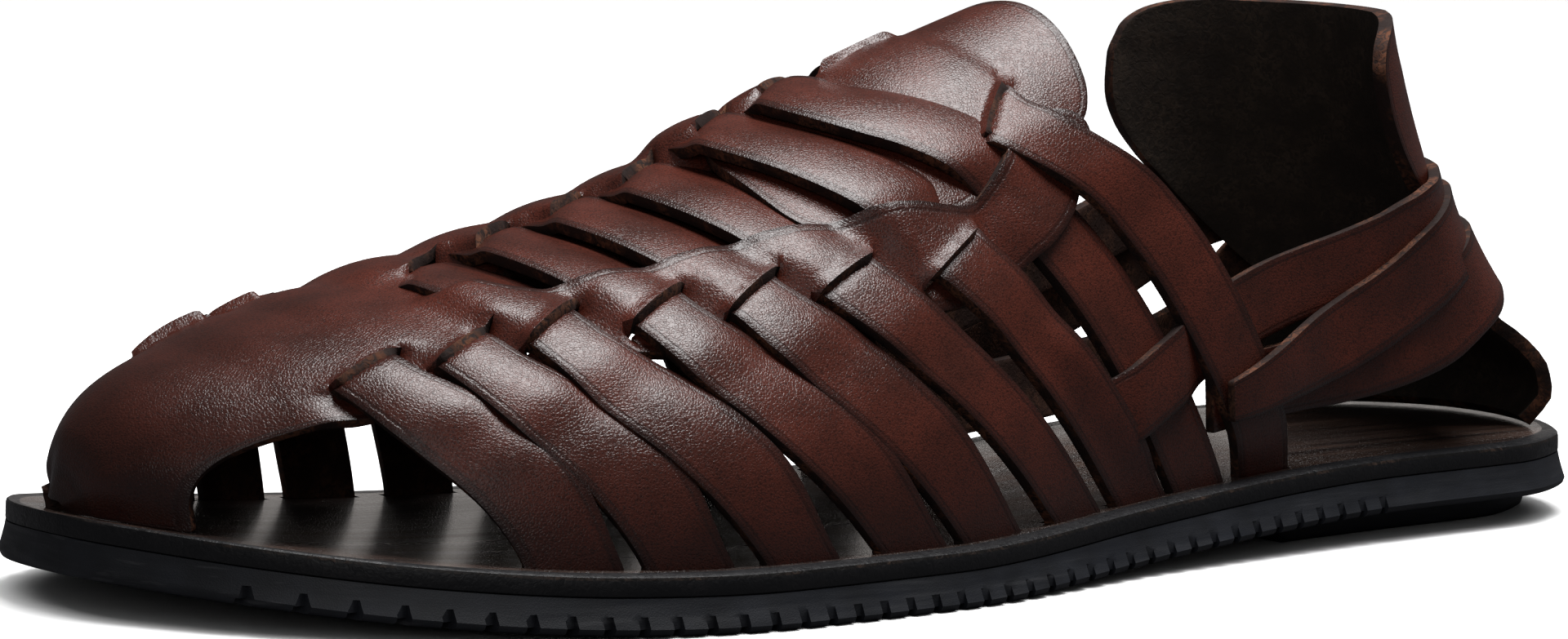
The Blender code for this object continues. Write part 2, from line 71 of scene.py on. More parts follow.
def curveThrough(rows, column=1):
    # monotone curve through one column of a table, read at places in the first column
    places = np.array([row[0] for row in rows], float)
    values = np.array([row[column] for row in rows], float)
    steps = np.diff(places)
    slopes = np.diff(values) / steps
    tangents = np.zeros(len(places))
    tangents[0], tangents[-1] = slopes[0], slopes[-1]
    for i in range(1, len(places) - 1):
        before, after = slopes[i - 1], slopes[i]
        if before * after > 0:
            first = 2 * steps[i] + steps[i - 1]
            second = steps[i] + 2 * steps[i - 1]
            tangents[i] = (first + second) / (first / before + second / after)

    def read(at):
        at = np.clip(np.asarray(at, float), places[0], places[-1])
        k = np.clip(np.searchsorted(places, at, side="right") - 1, 0, len(steps) - 1)
        t = (at - places[k]) / steps[k]
        bend = tangents[k] * t * (1 - t) ** 2 - tangents[k + 1] * t * t * (1 - t)
        return values[k] * (1 + 2 * t) * (1 - t) ** 2 + values[k + 1] * t * t * (3 - 2 * t) + steps[k] * bend

    return read


def ease(t):
    t = np.clip(t, 0.0, 1.0)
    return t * t * (3 - 2 * t)


outerEdge = curveThrough(last["sole"], 1)
innerEdge = curveThrough(last["sole"], 2)
formCurves = [curveThrough(last["form"], column) for column in range(1, 6)]


def underside(along):
    place = np.asarray(along, float) * last["length"]
    toe = np.maximum(0.0, place - last["toeSpringStart"]) / (last["length"] - last["toeSpringStart"])
    arch = ease((last["archStart"] - place) / last["archRun"])
    return last["toeSpring"] * toe ** 2 + last["heelRise"] * arch


def footbed(along):
    return underside(along) + last["rubber"] + last["gap"] + last["insole"]


def soleEdge(along, side):
    return side * np.where(side < 0, outerEdge(along), innerEdge(along)) * last["ballWidth"]


def placeAlong(along):
    return last["heelCentre"] - along * last["length"]


def shareAlong(x):
    return (last["heelCentre"] - x) / last["length"]


def formAt(along, side):
    # the last's height, crown and foot line, and the power of its curve
    height, crown, outerFull, innerFull, inset = [curve(along) for curve in formCurves]
    crown = crown * last["ballWidth"]
    foot = soleEdge(along, side) - side * inset * last["ballWidth"]
    foot = np.where(side > 0, np.maximum(foot, crown + last["innerToe"]), foot)
    return height * last["instep"], crown, foot, 2 / np.where(side < 0, outerFull, innerFull)


def lastPoint(along, across):
    along, across = np.broadcast_arrays(np.asarray(along, float), np.asarray(across, float))
    height, crown, foot, power = formAt(along, np.where(across < 0, -1.0, 1.0))
    angle = (1 - np.minimum(1.0, np.abs(across))) * math.pi / 2
    y = crown + (foot - crown) * np.maximum(0.0, np.cos(angle)) ** power
    z = footbed(along) + last["gap"] + height * np.sin(angle) ** power
    return np.stack([placeAlong(along), y, z], axis=-1)


def lastNormal(along, across):
    step = 0.004
    across = np.clip(across, -1 + 2 * step, 1 - 2 * step)
    run = lastPoint(along - step, across) - lastPoint(along + step, across)
    turn = lastPoint(along, across + step) - lastPoint(along, across - step)
    normal = np.cross(run, turn)
    return normal / np.linalg.norm(normal, axis=-1, keepdims=True)


def onLast(along, across, lift):
    lift = np.asarray(lift, float)[..., None]
    return lastPoint(along, across) + lastNormal(along, across) * lift


# Straps over and under.
straps = {  # in millimetres
    "width": 11.3, "slant": 1.07, "crown": 0.7, "tilt": 0.75, "shingle": 4.3,
    "clear": 0.15,    # between a strap and the leather over or under it
    "ride": 1.1,      # how far a strap rides up over the leather beside its slit
    "sunk": 1.3,      # how far it is pulled down under the inner band
    "underToe": 2.1,  # how far the first two straps lie below the toe piece
    "overTab": 2.15,  # how far the two rear straps rise over the tongue tab
    "overEnd": 1.5,   # how far the seventh strap's rear edge rises over an ankle strap's end
    "places": (-1.0, -0.45, -0.05, 0.45, 1.0),
    "cross": [  # along at each place, toe to instep
        (0.793, 0.857, 0.875, 0.875, 0.850), (0.735, 0.810, 0.830, 0.832, 0.805),
        (0.671, 0.762, 0.778, 0.780, 0.752), (0.596, 0.705, 0.725, 0.725, 0.695),
        (0.537, 0.653, 0.678, 0.675, 0.632), (0.463, 0.600, 0.632, 0.622, 0.568),
        (0.406, 0.535, 0.583, 0.567, 0.505), (0.357, 0.468, 0.535, 0.523, 0.450),
    ],
    "collar": [
        (-1.00, 0.299), (-0.82, 0.336), (-0.59, 0.386), (-0.345, 0.455),
        (0.10, 0.478), (0.50, 0.455), (1.00, 0.392),
    ],
    # strap by strap: width added halfway down the outer side, and where the open window starts
    "fuller": (2.2, 3.0, 3.2, 3.0, 2.0, 0.3, 0.0, 0.0),
    "windows": (-0.40, -0.40, -0.39, -0.42, -0.46, -0.50, -0.53, -0.46),
    "footWider": (0.16, 0.16, 0.16, 0.16, 0.16, 0.04, 0.04, 0.04, 0.04),
}
# Slits that the straps dive through: strap, hook, lower end, upper end as along and across.
outerSlits = [
    (0, (0.868, -0.492), (0.874, -0.462), (0.834, -0.352)),
    (1, (0.825, -0.482), (0.830, -0.455), (0.787, -0.352)),
    (2, (0.781, -0.478), (0.785, -0.452), (0.738, -0.356)),
    (3, (0.724, -0.492), (0.728, -0.464), (0.682, -0.396)),
    (4, (0.669, -0.516), (0.674, -0.492), (0.626, -0.432)),
    (5, (0.613, -0.540), (0.618, -0.517), (0.572, -0.480)),
    (6, (0.544, -0.588), (0.549, -0.563), (0.502, -0.512)),
]
innerSlits = [
    (0, (0.896, 0.395), (0.897, 0.365), (0.858, 0.245)),
    (1, (0.856, 0.430), (0.857, 0.400), (0.820, 0.290)),
    (2, (0.802, 0.520), (0.802, 0.490), (0.764, 0.385)),
    (3, (0.746, 0.520), (0.746, 0.490), (0.708, 0.400)),
    (4, (0.692, 0.520), (0.692, 0.490), (0.655, 0.410)),
    (5, (0.640, 0.520), (0.640, 0.490), (0.603, 0.420)),
    (6, (0.588, 0.540), (0.588, 0.510), (0.550, 0.440)),
    (7, (0.542, 0.560), (0.542, 0.530), (0.503, 0.460)),
]
innerLips = [  # where the straps go down under the inner band
    (2, (0.782, -0.065), (0.780, -0.055), (0.742, 0.045)),
    (3, (0.739, -0.055), (0.737, -0.045), (0.699, 0.055)),
    (4, (0.692, -0.045), (0.690, -0.035), (0.653, 0.065)),
    (5, (0.641, -0.025), (0.639, -0.015), (0.603, 0.085)),
    (6, (0.587, -0.005), (0.585, 0.005), (0.551, 0.105)),
    (7, (0.539, 0.035), (0.537, 0.045), (0.503, 0.145)),
]
crossPaths = [curveThrough(list(zip(straps["places"], row))) for row in straps["cross"]]
collarPath = curveThrough(straps["collar"])


def blank(along, across):
    return np.stack([np.asarray(along, float) * blankLength, np.asarray(across, float) * blankWidth], axis=-1)


def slitFrame(slit, along, across, towards):
    # place along a slit and signed distance from it, in millimetres; positive towards inner or outer
    lower, upper = blank(*slit[-2]), blank(*slit[-1])
    run = upper - lower
    length = np.linalg.norm(run)
    run = run / length
    place = blank(along, across) - lower
    normal = np.array([-run[1], run[0]])
    if normal[1] * towards < 0:
        normal = -normal
    return place @ run, place @ normal, length


def slitAt(slits, number):
    for slit in slits:
        if slit[0] == number:
            return slit
    return None


def strapPath(number):
    return collarPath if number == 8 else crossPaths[number]


def strapDistance(number, along, across):
    path = strapPath(number)
    slope = (path(across + 0.02) - path(across - 0.02)) / 0.04 * blankLength / blankWidth
    return (along - path(across)) * blankLength / np.sqrt(1 + slope ** 2)


def strapBottom(number, along, across):
    # height of a strap's flesh side above the last, in millimetres
    ride = straps["ride"]
    rise = np.zeros(np.broadcast(along, across).shape)
    covered = np.ones(rise.shape)
    for slits, towards, reach in ((outerSlits, 1, 16.0 if number < 2 else 10.0), (innerSlits, -1, 10.0)):
        slit = slitAt(slits, number)
        if slit is None:
            continue
        _, off, _ = slitFrame(slit, along, across, towards)
        through = ease((off + 1.0) / 3.0)
        rise = rise + ride * (1 - through) * ease((off + reach + 7) / 9.0)
        covered = covered * through
    lip = slitAt(innerLips, number)
    if lip is not None:  # pulled down under the inner band
        _, off, _ = slitFrame(lip, along, across, 1)
        rise = rise - straps["sunk"] * ease((off + 2.5) / 4.0) * covered
        rise = rise + 0.35 * (1 - ease((off + 3.0) / 4.0))
    if number < 2:  # hidden under the toe piece
        rise = rise - straps["underToe"] * covered
    if number in (6, 7):  # the two rear straps also cross the tongue tab
        rise = rise + straps["overTab"] * (1 - ease((np.abs(across + 0.13) - 0.25) / 0.12))
    away = strapDistance(number, along, across) / (straps["width"] / 2)
    if number == 6:  # the upper ankle strap's end is tucked under its rear edge
        onEnd = ease((across + 0.98) / 0.08) * (1 - ease((across + 0.76) / 0.10))
        rise = rise + straps["overEnd"] * onEnd * ease((0.5 - away) / 1.2)
    crown = straps["crown"] * ease((0.80 - np.abs(across)) / 0.3)
    tilt = straps["tilt"] * inWindow(number, across)
    return rise - crown * np.minimum(away ** 2, 2.5) + tilt * np.clip(away, -1.7, 1)


def inWindow(number, across):
    # between the two bands the straps lie like shingles
    return ease((across - straps["windows"][number]) / 0.07) * (1 - ease((across + 0.04) / 0.10))


def besideSlit(slit, along, across, towards, edge, spread):
    # 1 where leather lies over the strap in this slit, 0 where it lies under it
    place, signed, length = slitFrame(slit, along, across, towards)
    beyond = np.maximum(0.0, np.maximum(-place, place - length))
    return ease(signed / (edge + beyond * spread) + 0.5)


def bandHeight(along, across):
    # height of the toe piece and its bands where the straps run under and over them
    thick = leatherThickness * 1000
    clear = straps["clear"]
    highest = np.zeros(np.shape(along))
    lowest = np.zeros(np.shape(along))
    innerHalf = across >= -0.20
    sides = ((outerSlits, ~innerHalf, 1), (innerSlits, innerHalf, -1), (innerLips, innerHalf, 1))
    for number in range(8):
        wider = straps["shingle"] / 2 * inWindow(number, across) * (number > 1)
        off = np.abs(strapDistance(number, along, across) + wider) - wider
        bottom = strapBottom(number, along, across)
        fade = ease((straps["width"] / 2 + 4.0 - off) / 4.2)
        over = (bottom + thick + clear) * fade
        under = np.minimum(0.0, bottom - toePiece["leather"] * 1000 - clear) * fade
        mask = np.ones(np.shape(along))
        for slits, here, towards in sides:
            slit = slitAt(slits, number)
            if slit is not None:
                mask = np.where(here, mask * besideSlit(slit, along, across, towards, 0.35, 3.2), mask)
        highest = np.maximum(highest, over * mask)
        lowest = np.minimum(lowest, under * (1 - mask))
    # the flap at the band's rear end lies over strap and tab
    flap = toePiece["flap"] * ease((0.505 - along) / 0.03) * ease((across + 0.56) / 0.10) * (across < 0)
    return np.maximum(highest, flap) + lowest


# Cutting and finishing leather.
def clearSelection():
    bpy.ops.object.select_all(action="DESELECT")


def makeActive(piece):
    clearSelection()
    piece.select_set(True)
    bpy.context.view_layer.objects.active = piece


def setFloat(mesh, name, values):
    attribute = mesh.attributes.new(name, "FLOAT", "POINT")
    attribute.data.foreach_set("value", np.asarray(values, dtype=np.float32))


def turnOutwards(piece, outward):
    # the blank's faces are turned to the grain side
    mesh = piece.data
    total = sum(face.normal.dot(Vector(outward(face.center))) for face in list(mesh.polygons)[::7])
    if total < 0:
        mesh.flip_normals()


def finishLeather(piece, thickness=leatherThickness, edgeRound=0.00035):
    # the flesh side and the cut edges, from the grain side inwards
    makeActive(piece)
    solidify = piece.modifiers.new("thickness", "SOLIDIFY")
    solidify.thickness = thickness
    solidify.offset = -1.0
    solidify.material_offset = 1
    solidify.material_offset_rim = 2
    bpy.ops.object.modifier_apply(modifier="thickness")
    bevel = piece.modifiers.new("edge", "BEVEL")
    bevel.width = edgeRound
    bevel.segments = 2
    bevel.limit_method = "ANGLE"
    bevel.angle_limit = math.radians(55)
    bpy.ops.object.modifier_apply(modifier="edge")
    bpy.ops.object.shade_smooth_by_angle(angle=math.radians(40))
    return piece


def gridPiece(name, points, materials, edge=None):
    # a grid, rows by columns, laid at the given points
    rows, columns = points.shape[:2]
    clearSelection()
    bpy.ops.mesh.primitive_grid_add(x_subdivisions=columns - 1, y_subdivisions=rows - 1, size=1)
    piece = bpy.context.object
    piece.name = name
    piece.data.name = name
    piece.data.vertices.foreach_set("co", points.reshape(-1))
    if edge is not None:
        setFloat(piece.data, "fromEdge", edge.reshape(-1))
    for material in materials:
        piece.data.materials.append(material)
    piece.data.update()
    return piece


def newObject(name, data):
    made = bpy.data.objects.new(name, data)
    bpy.context.scene.collection.objects.link(made)
    return made


def wave(values, scale, amount, seed):
    heights = [noise.noise((value * scale, seed, 0.37)) for value in np.ravel(values)]
    return np.array(heights).reshape(np.shape(values)) * amount


def makeStrap(name, number, materials):
    # a ribbon along its path, with both ends carried down into the insole
    settings = {"sections": 150, "columns": 11}
    path = strapPath(number)
    across = np.linspace(-1, 1, settings["sections"])
    u = np.linspace(-1, 1, settings["columns"])
    along = path(across)
    step = 0.02
    run = lastPoint(path(across + step), across + step) - lastPoint(path(across - step), across - step)
    slant = np.abs(run[:, 0]) / np.linalg.norm(run, axis=1)
    cap = straps["slant"] + 0.35 * (1 - np.abs(across))
    widened = np.minimum(cap, 1 / np.sqrt(np.maximum(0.3, 1 - slant ** 2)))
    footWider = 1 + straps["footWider"][number] * ease((-across - 0.50) / 0.2)
    half = straps["width"] / 2 / blankLength * widened * footWider
    grid = along[:, None] + half[:, None] * u[None, :]
    frontEdge = np.clip((0.4 - u) / 1.4, 0, 1)[None, :]
    if 1 < number < 8:
        wider = (inWindow(number, across) * straps["shingle"] / blankLength)[:, None]
        grid -= wider * frontEdge
    if number < 8:  # the straps are widest halfway down the outer side
        fuller = ease((-across - 0.45) / 0.15) * (1 - ease((-across - 0.76) / 0.22))
        fuller = fuller * straps["fuller"][number] / blankLength
        grid -= fuller[:, None] * frontEdge
    for side, column in ((-1, 0), (1, -1)):
        grid[:, column] += side * wave(across, 9.0, 0.00035, number * 3.1 + side)
    places = np.repeat(across[:, None], len(u), axis=1)
    height = (strapBottom(number, grid, places) if number < 8 else collarBottom(grid, places)) / 1000
    points = onLast(grid, places, height + leatherThickness)
    drops = (0.0012, 0.0024)
    outerFoot = np.stack([points[0] - np.array([0, 0, drop]) for drop in drops[::-1]])
    innerFoot = np.stack([points[-1] - np.array([0, 0, drop]) for drop in drops])
    points = np.concatenate([outerFoot, points, innerFoot])
    edge = (1 - np.abs(u)) * straps["width"] / 2
    edge = np.repeat(edge[None, :], len(points), axis=0)
    piece = gridPiece(name, points, materials, edge)
    turnOutwards(piece, lambda centre: Vector((0, centre.y - 0.008, centre.z - 0.02)))
    return finishLeather(piece)


collarOver = curveThrough([
    (-1.0, 0.0), (-0.93, 2.25), (-0.62, 2.3), (-0.50, 3.6), (-0.42, 3.7), (-0.33, 2.5), (-0.2, 2.25),
    (0.0, 1.7), (0.10, 1.4), (0.20, 0.9), (0.32, 0.2), (1.0, 0.0),
])


def collarBottom(along, across):
    # over the flap, the ankle straps and the tab's margins, under the tab's middle
    inside = np.ones(np.broadcast(along, across).shape)
    for slit, towards in zip(tongue["slits"], (1, -1)):
        _, off, _ = slitFrame(slit, along, across, towards)
        inside = inside * ease((off + 0.9) / 2.4)
    rise = collarOver(across) * (1 - inside) - 1.2 * inside
    return rise - 0.3 * (strapDistance(8, along, across) / (straps["width"] / 2)) ** 2


# Toe piece and bands.
toePiece = {
    "leather": 0.0017, "spacing": 1.15, "steepFrom": 281.5, "flap": 1.9, "bulge": 2.4,
    "outline": [  # along, across; round the leather from the toe's outer foot
        (0.9638, -1.0), (0.956, -1.0), (0.949, -1.0), (0.942, -1.0), (0.9345, -1.0),
        (0.934, -0.95), (0.934, -0.87), (0.932, -0.79), (0.928, -0.725), (0.921, -0.670),
        (0.911, -0.630), (0.899, -0.603), (0.885, -0.585), (0.871, -0.578), (0.861, -0.572),
        (0.848, -0.556), (0.838, -0.528), (0.828, -0.502), (0.812, -0.520), (0.797, -0.520),
        (0.784, -0.497), (0.768, -0.514), (0.745, -0.520), (0.727, -0.508), (0.712, -0.528),
        (0.692, -0.545), (0.672, -0.532), (0.655, -0.552), (0.637, -0.562), (0.617, -0.556),
        (0.597, -0.585), (0.574, -0.598), (0.548, -0.605), (0.525, -0.615), (0.505, -0.620),
        (0.490, -0.620), (0.484, -0.612), (0.472, -0.598), (0.452, -0.580), (0.434, -0.553),
        (0.422, -0.525), (0.408, -0.480), (0.404, -0.425), (0.416, -0.385), (0.440, -0.375), (0.458, -0.400),
        (0.468, -0.428), (0.484, -0.455), (0.497, -0.468), (0.515, -0.455), (0.537, -0.432), (0.567, -0.407),
        (0.600, -0.377), (0.628, -0.360), (0.658, -0.343), (0.687, -0.335), (0.710, -0.322), (0.735, -0.310),
        (0.752, -0.296), (0.766, -0.275), (0.775, -0.235), (0.777, -0.180), (0.773, -0.140), (0.760, -0.125),
        (0.740, -0.125), (0.700, -0.120), (0.650, -0.105), (0.600, -0.085), (0.560, -0.060),
        (0.530, -0.020), (0.505, 0.030), (0.490, 0.090),
        (0.478, 0.170), (0.472, 0.270), (0.470, 0.370), (0.474, 0.470), (0.488, 0.545),
        (0.520, 0.600), (0.560, 0.605), (0.600, 0.590), (0.650, 0.570), (0.700, 0.565), (0.750, 0.560),
        (0.795, 0.560), (0.835, 0.540), (0.868, 0.545), (0.893, 0.590), (0.912, 0.650), (0.925, 0.750),
        (0.931, 0.860), (0.934, 0.95), (0.9345, 1.0), (0.942, 1.0), (0.949, 1.0), (0.956, 1.0), (0.9638, 1.0),
        (0.9638, 0.98), (0.9638, 0.9), (0.9638, 0.7), (0.9638, 0.4), (0.9638, 0.0), (0.9638, -0.4),
        (0.9638, -0.7), (0.9638, -0.9), (0.9638, -0.98),
    ],
}


def smoothLoop(corners, step):
    # closed curve through the corners, sampled about every step millimetres
    count = len(corners)
    out = []
    for i in range(count):
        p0, p1, p2, p3 = (corners[(i + k - 1) % count] for k in range(4))
        length = np.linalg.norm(p2 - p1)
        if length < 1e-6:
            continue
        pieces = max(1, int(round(length / step)))
        for n in range(pieces):
            t = n / pieces
            out.append(0.5 * (2 * p1 + (p2 - p0) * t + (2 * p0 - 5 * p1 + 4 * p2 - p3) * t * t
                              + (3 * p1 - p0 - 3 * p2 + p3) * t ** 3))
    return np.array(out)


def insideLoop(points, loop):
    inside = np.zeros(len(points), bool)
    x, y = points[:, 0], points[:, 1]
    for (x1, y1), (x2, y2) in zip(loop, np.roll(loop, -1, axis=0)):
        crosses = (y1 > y) != (y2 > y)
        with np.errstate(divide="ignore", invalid="ignore"):
            at = (x2 - x1) * (y - y1) / (y2 - y1) + x1
        inside ^= crosses & (x < at)
    return inside


def distanceToLoops(points, loops):
    best = np.full(len(points), 1e9)
    for loop in loops:
        for a, b in zip(loop, np.roll(loop, -1, axis=0)):
            run = b - a
            t = np.clip(((points - a) @ run) / max(1e-12, run @ run), 0, 1)
            best = np.minimum(best, np.linalg.norm(points - a - t[:, None] * run, axis=1))
    return best


def slitLoop(path, halfWidth, step=0.8):
    # narrow pointed cut round a short path
    path = [np.array(p, float) for p in path]
    line = [path[0]]
    for a, b in zip(path, path[1:]):
        pieces = max(1, int(round(np.linalg.norm(b - a) / step)))
        line += [a + (b - a) * n / pieces for n in range(1, pieces + 1)]
    line = np.array(line)
    for _ in range(2):
        line[1:-1] = (line[:-2] + 2 * line[1:-1] + line[2:]) / 4
    tangent = np.gradient(line, axis=0)
    tangent /= np.linalg.norm(tangent, axis=1, keepdims=True)
    normal = np.stack([-tangent[:, 1], tangent[:, 0]], axis=1)
    t = np.linspace(0, 1, len(line))
    gape = halfWidth * np.sin(np.pi * t) ** 0.5
    left = line[1:-1] + normal[1:-1] * gape[1:-1, None]
    right = line[1:-1] - normal[1:-1] * gape[1:-1, None]
    return np.concatenate([line[:1], left, line[-1:], right[::-1]])


def cutBlank(name, outline, holes, spacing, place, materials, steepFrom=None):
    # leather cut to an outline with its slits, then laid at place(x, y) in blank millimetres;
    # beyond steepFrom the points stand closer
    loops = [outline] + holes
    low, high = outline.min(axis=0), outline.max(axis=0)
    rows = np.arange(low[1], high[1], spacing * 0.866)
    seeds = []
    for r, y in enumerate(rows):
        xs = np.arange(low[0] + (r % 2) * spacing / 2, high[0], spacing)
        seeds.append(np.stack([xs, np.full(len(xs), y)], axis=1))
    seeds = np.concatenate(seeds)
    seeds = seeds[insideLoop(seeds, outline)]
    for hole in holes:
        seeds = seeds[~insideLoop(seeds, hole)]
    seeds = seeds[distanceToLoops(seeds, loops) > spacing * 0.45]
    if steepFrom:
        across, along = np.meshgrid(rows, np.arange(steepFrom, high[0], spacing * 0.3))
        close = np.stack([along.ravel(), across.ravel()], axis=1)
        close = close[insideLoop(close, outline)]
        close = close[distanceToLoops(close, loops) > spacing * 0.2]
        seeds = np.concatenate([seeds[seeds[:, 0] < steepFrom - spacing * 0.3], close])
    points = np.concatenate(loops + [seeds])
    edges = []
    start = 0
    for loop in loops:
        edges += [(start + i, start + (i + 1) % len(loop)) for i in range(len(loop))]
        start += len(loop)
    result = delaunay_2d_cdt([Vector(p) for p in points], edges, [], 0, 1e-6)
    flat = np.array([tuple(v) for v in result[0]])
    faces = np.array([face for face in result[2] if len(face) == 3])
    centres = flat[faces].mean(axis=1)
    keep = insideLoop(centres, outline)
    for hole in holes:
        keep &= ~insideLoop(centres, hole)
    faces = faces[keep]
    used = np.unique(faces)
    index = -np.ones(len(flat), int)
    index[used] = np.arange(len(used))
    flat = flat[used]
    faces = index[faces]
    mesh = bpy.data.meshes.new(name)
    mesh.from_pydata(place(flat).tolist(), [], faces.tolist())
    piece = newObject(name, mesh)
    edge = distanceToLoops(flat, [outline])
    if holes:
        edge = np.minimum(edge, distanceToLoops(flat, holes) + 1.6)
    setFloat(mesh, "fromEdge", edge)
    for material in materials:
        mesh.materials.append(material)
    mesh.update()
    return piece


def makeToePiece(materials):
    corners = [blank(*corner) for corner in toePiece["outline"]]
    outline = smoothLoop(corners, 0.8)
    holes = []
    for slit in outerSlits + innerSlits + innerLips:
        holes.append(slitLoop([blank(*corner) for corner in slit[1:]], 0.32))

    def place(flat):
        along = flat[:, 0] / blankLength
        across = np.clip(flat[:, 1] / blankWidth, -1, 1)
        lift = bandHeight(along, across)
        gap = np.full(len(flat), 1e9)
        for hole in holes:
            gap = np.minimum(gap, distanceToLoops(flat, [hole]))
        soft = np.zeros(len(flat))
        for turn in range(10):
            angle = turn * math.pi / 5
            near = flat + np.array([math.cos(angle), math.sin(angle)]) * (2.4 if turn % 2 else 1.3)
            soft += bandHeight(near[:, 0] / blankLength, near[:, 1] / blankWidth) / 10
        away = ease((gap - 0.5) / 2.6)
        lift = lift * (1 - away) + soft * away
        # the toe bulges a little over the leather's foot
        bulge = toePiece["bulge"] * ease((along - 0.895) / 0.05) * (1 - 0.7 * ease((along - 0.952) / 0.011))
        lift = lift + bulge * (1 - 0.8 * ease((np.abs(across) - 0.6) / 0.4))
        return onLast(along, across, lift / 1000 + toePiece["leather"])

    spacing, steepFrom = toePiece["spacing"], toePiece["steepFrom"]
    piece = cutBlank("toe_piece", outline, holes, spacing, place, materials, steepFrom)
    turnOutwards(piece, lambda centre: Vector((0, centre.y - 0.012, centre.z - 0.012)))
    return finishLeather(piece, thickness=toePiece["leather"])


# Tongue tab.
tongue = {
    "outline": [
        (0.389, -0.330), (0.393, -0.380), (0.401, -0.415), (0.418, -0.437), (0.445, -0.445),
        (0.478, -0.460), (0.505, -0.470), (0.540, -0.455), (0.580, -0.410), (0.600, -0.330), (0.602, -0.150),
        (0.592, -0.040), (0.575, 0.060), (0.530, 0.130), (0.480, 0.165), (0.440, 0.150),
        (0.412, 0.080), (0.396, -0.020), (0.389, -0.120), (0.387, -0.230),
    ],
    "slits": [
        ((0.440, -0.285), (0.441, -0.297), (0.472, -0.378)),
        ((0.452, 0.075), (0.453, 0.060), (0.500, 0.045)),
    ],
    "spacing": 0.8, "clear": 2.15,  # from the tab's grain side to the collar strap's flesh side
}


def makeTongue(materials):
    outline = smoothLoop([blank(*corner) for corner in tongue["outline"]], 0.8)
    holes = [slitLoop([blank(*corner) for corner in slit], 0.45, 0.5) for slit in tongue["slits"]]

    def place(flat):
        along = flat[:, 0] / blankLength
        across = flat[:, 1] / blankWidth
        off = np.abs(strapDistance(8, along, across))
        fade = ease((straps["width"] / 2 + 4.5 - off) / 4.5)
        over = collarBottom(along, across) + tongue["clear"]
        under = np.minimum(0, collarBottom(along, across) - tongue["clear"])
        mask = np.ones(len(flat))
        for slit, here, towards in zip(tongue["slits"], (across < -0.12, across >= -0.12), (1, -1)):
            mask = np.where(here, besideSlit(slit, along, across, towards, 0.5, 1.6), mask)
        lift = fade * (mask * np.maximum(0, over) + (1 - mask) * under)
        return onLast(along, across, lift / 1000 + leatherThickness)

    piece = cutBlank("tongue_tab_leather", outline, holes, tongue["spacing"], place, materials)
    turnOutwards(piece, lambda centre: Vector((0, centre.y - 0.012, centre.z - 0.012)))
    return finishLeather(piece)


# Heel counter and ankle straps.
heel = {
    "height": 0.0735, "turn": 0.07, "leather": 0.0024, "radius": 0.0310,
    "outerRun": 0.060, "innerRun": 0.080, "outerSpread": 0.05, "innerSpread": -0.13,
    "rows": [  # height, back, radius, span
        (0.000, 0.890, 0.92, 0.50), (0.080, 0.975, 1.03, 0.53), (0.145, 0.950, 1.04, 0.53),
        (0.215, 0.835, 1.03, 0.48), (0.265, 0.695, 1.01, 0.46), (0.392, 0.475, 1.00, 0.56),
        (0.550, 0.295, 1.00, 0.71), (0.620, 0.245, 1.01, 0.785), (0.700, 0.188, 1.02, 0.830),
        (0.780, 0.135, 1.02, 0.845), (0.860, 0.085, 1.02, 0.838), (0.920, 0.050, 1.01, 0.795),
        (0.965, 0.028, 1.01, 0.700), (0.990, 0.018, 1.01, 0.560), (1.000, 0.015, 1.01, 0.420),
    ],
}
heelCurves = [curveThrough(heel["rows"], column) for column in range(1, 4)]
ankleStraps = {
    "width": 0.0120,
    # turn round the heel and height above the footbed, in millimetres
    "upper": [(0.0, 43.0), (0.45, 41.8), (0.8, 39.5), (1.04, 36.8), (1.2, 34.0), (1.35, 31.6), (1.5, 29.6),
              (1.7, 26.3), (1.8, 24.1), (1.9, 21.7), (2.05, 17.7), (2.22, 13.5), (2.3, 11.5)],
    "middle": [(0.0, 39.7), (0.45, 38.6), (0.8, 34.8), (1.0, 30.6), (1.19, 25.0), (1.36, 20.6), (1.54, 16.8),
               (1.66, 14.5), (1.75, 13.1), (1.80, 12.5)],
    "lower": [(0.0, 34.2), (0.45, 32.0), (0.7, 28.4), (0.9, 24.2), (1.02, 20.8), (1.15, 17.8), (1.3, 15.8),
              (1.5, 14.4), (1.82, 13.0)],
    # how far each strap stands off the heel's wall and then off the last, by turn, in millimetres
    "upperLift": [(0.0, 0.3), (1.2, 0.2), (1.86, 0.2), (1.98, 2.3), (2.14, 2.3), (2.23, 0.4), (2.3, -0.1)],
    "middleLift": [(0.0, 1.4), (1.0, 1.6), (1.35, 2.4), (1.62, 4.5), (1.75, 4.4), (1.80, 4.0)],
    "lowerLift": [(0.0, 2.7), (0.45, 2.7), (1.05, 0.5), (1.5, 0.1), (1.82, 0.1)],
    # the lower strap's course on the inner side, and where the middle strap narrows
    "inner": {"lower": [(0.0, 34.2), (0.45, 30.5), (0.7, 22.5), (0.9, 14.5), (1.05, 10.0), (1.2, 8.2),
                        (1.5, 7.2), (1.82, 7.0)]},
    "taper": {"middle": (1.48, 0.55)},
    "sideStart": -0.0085,  # x where the straps leave the heel's curve
    "sections": 190, "columns": 11,
}


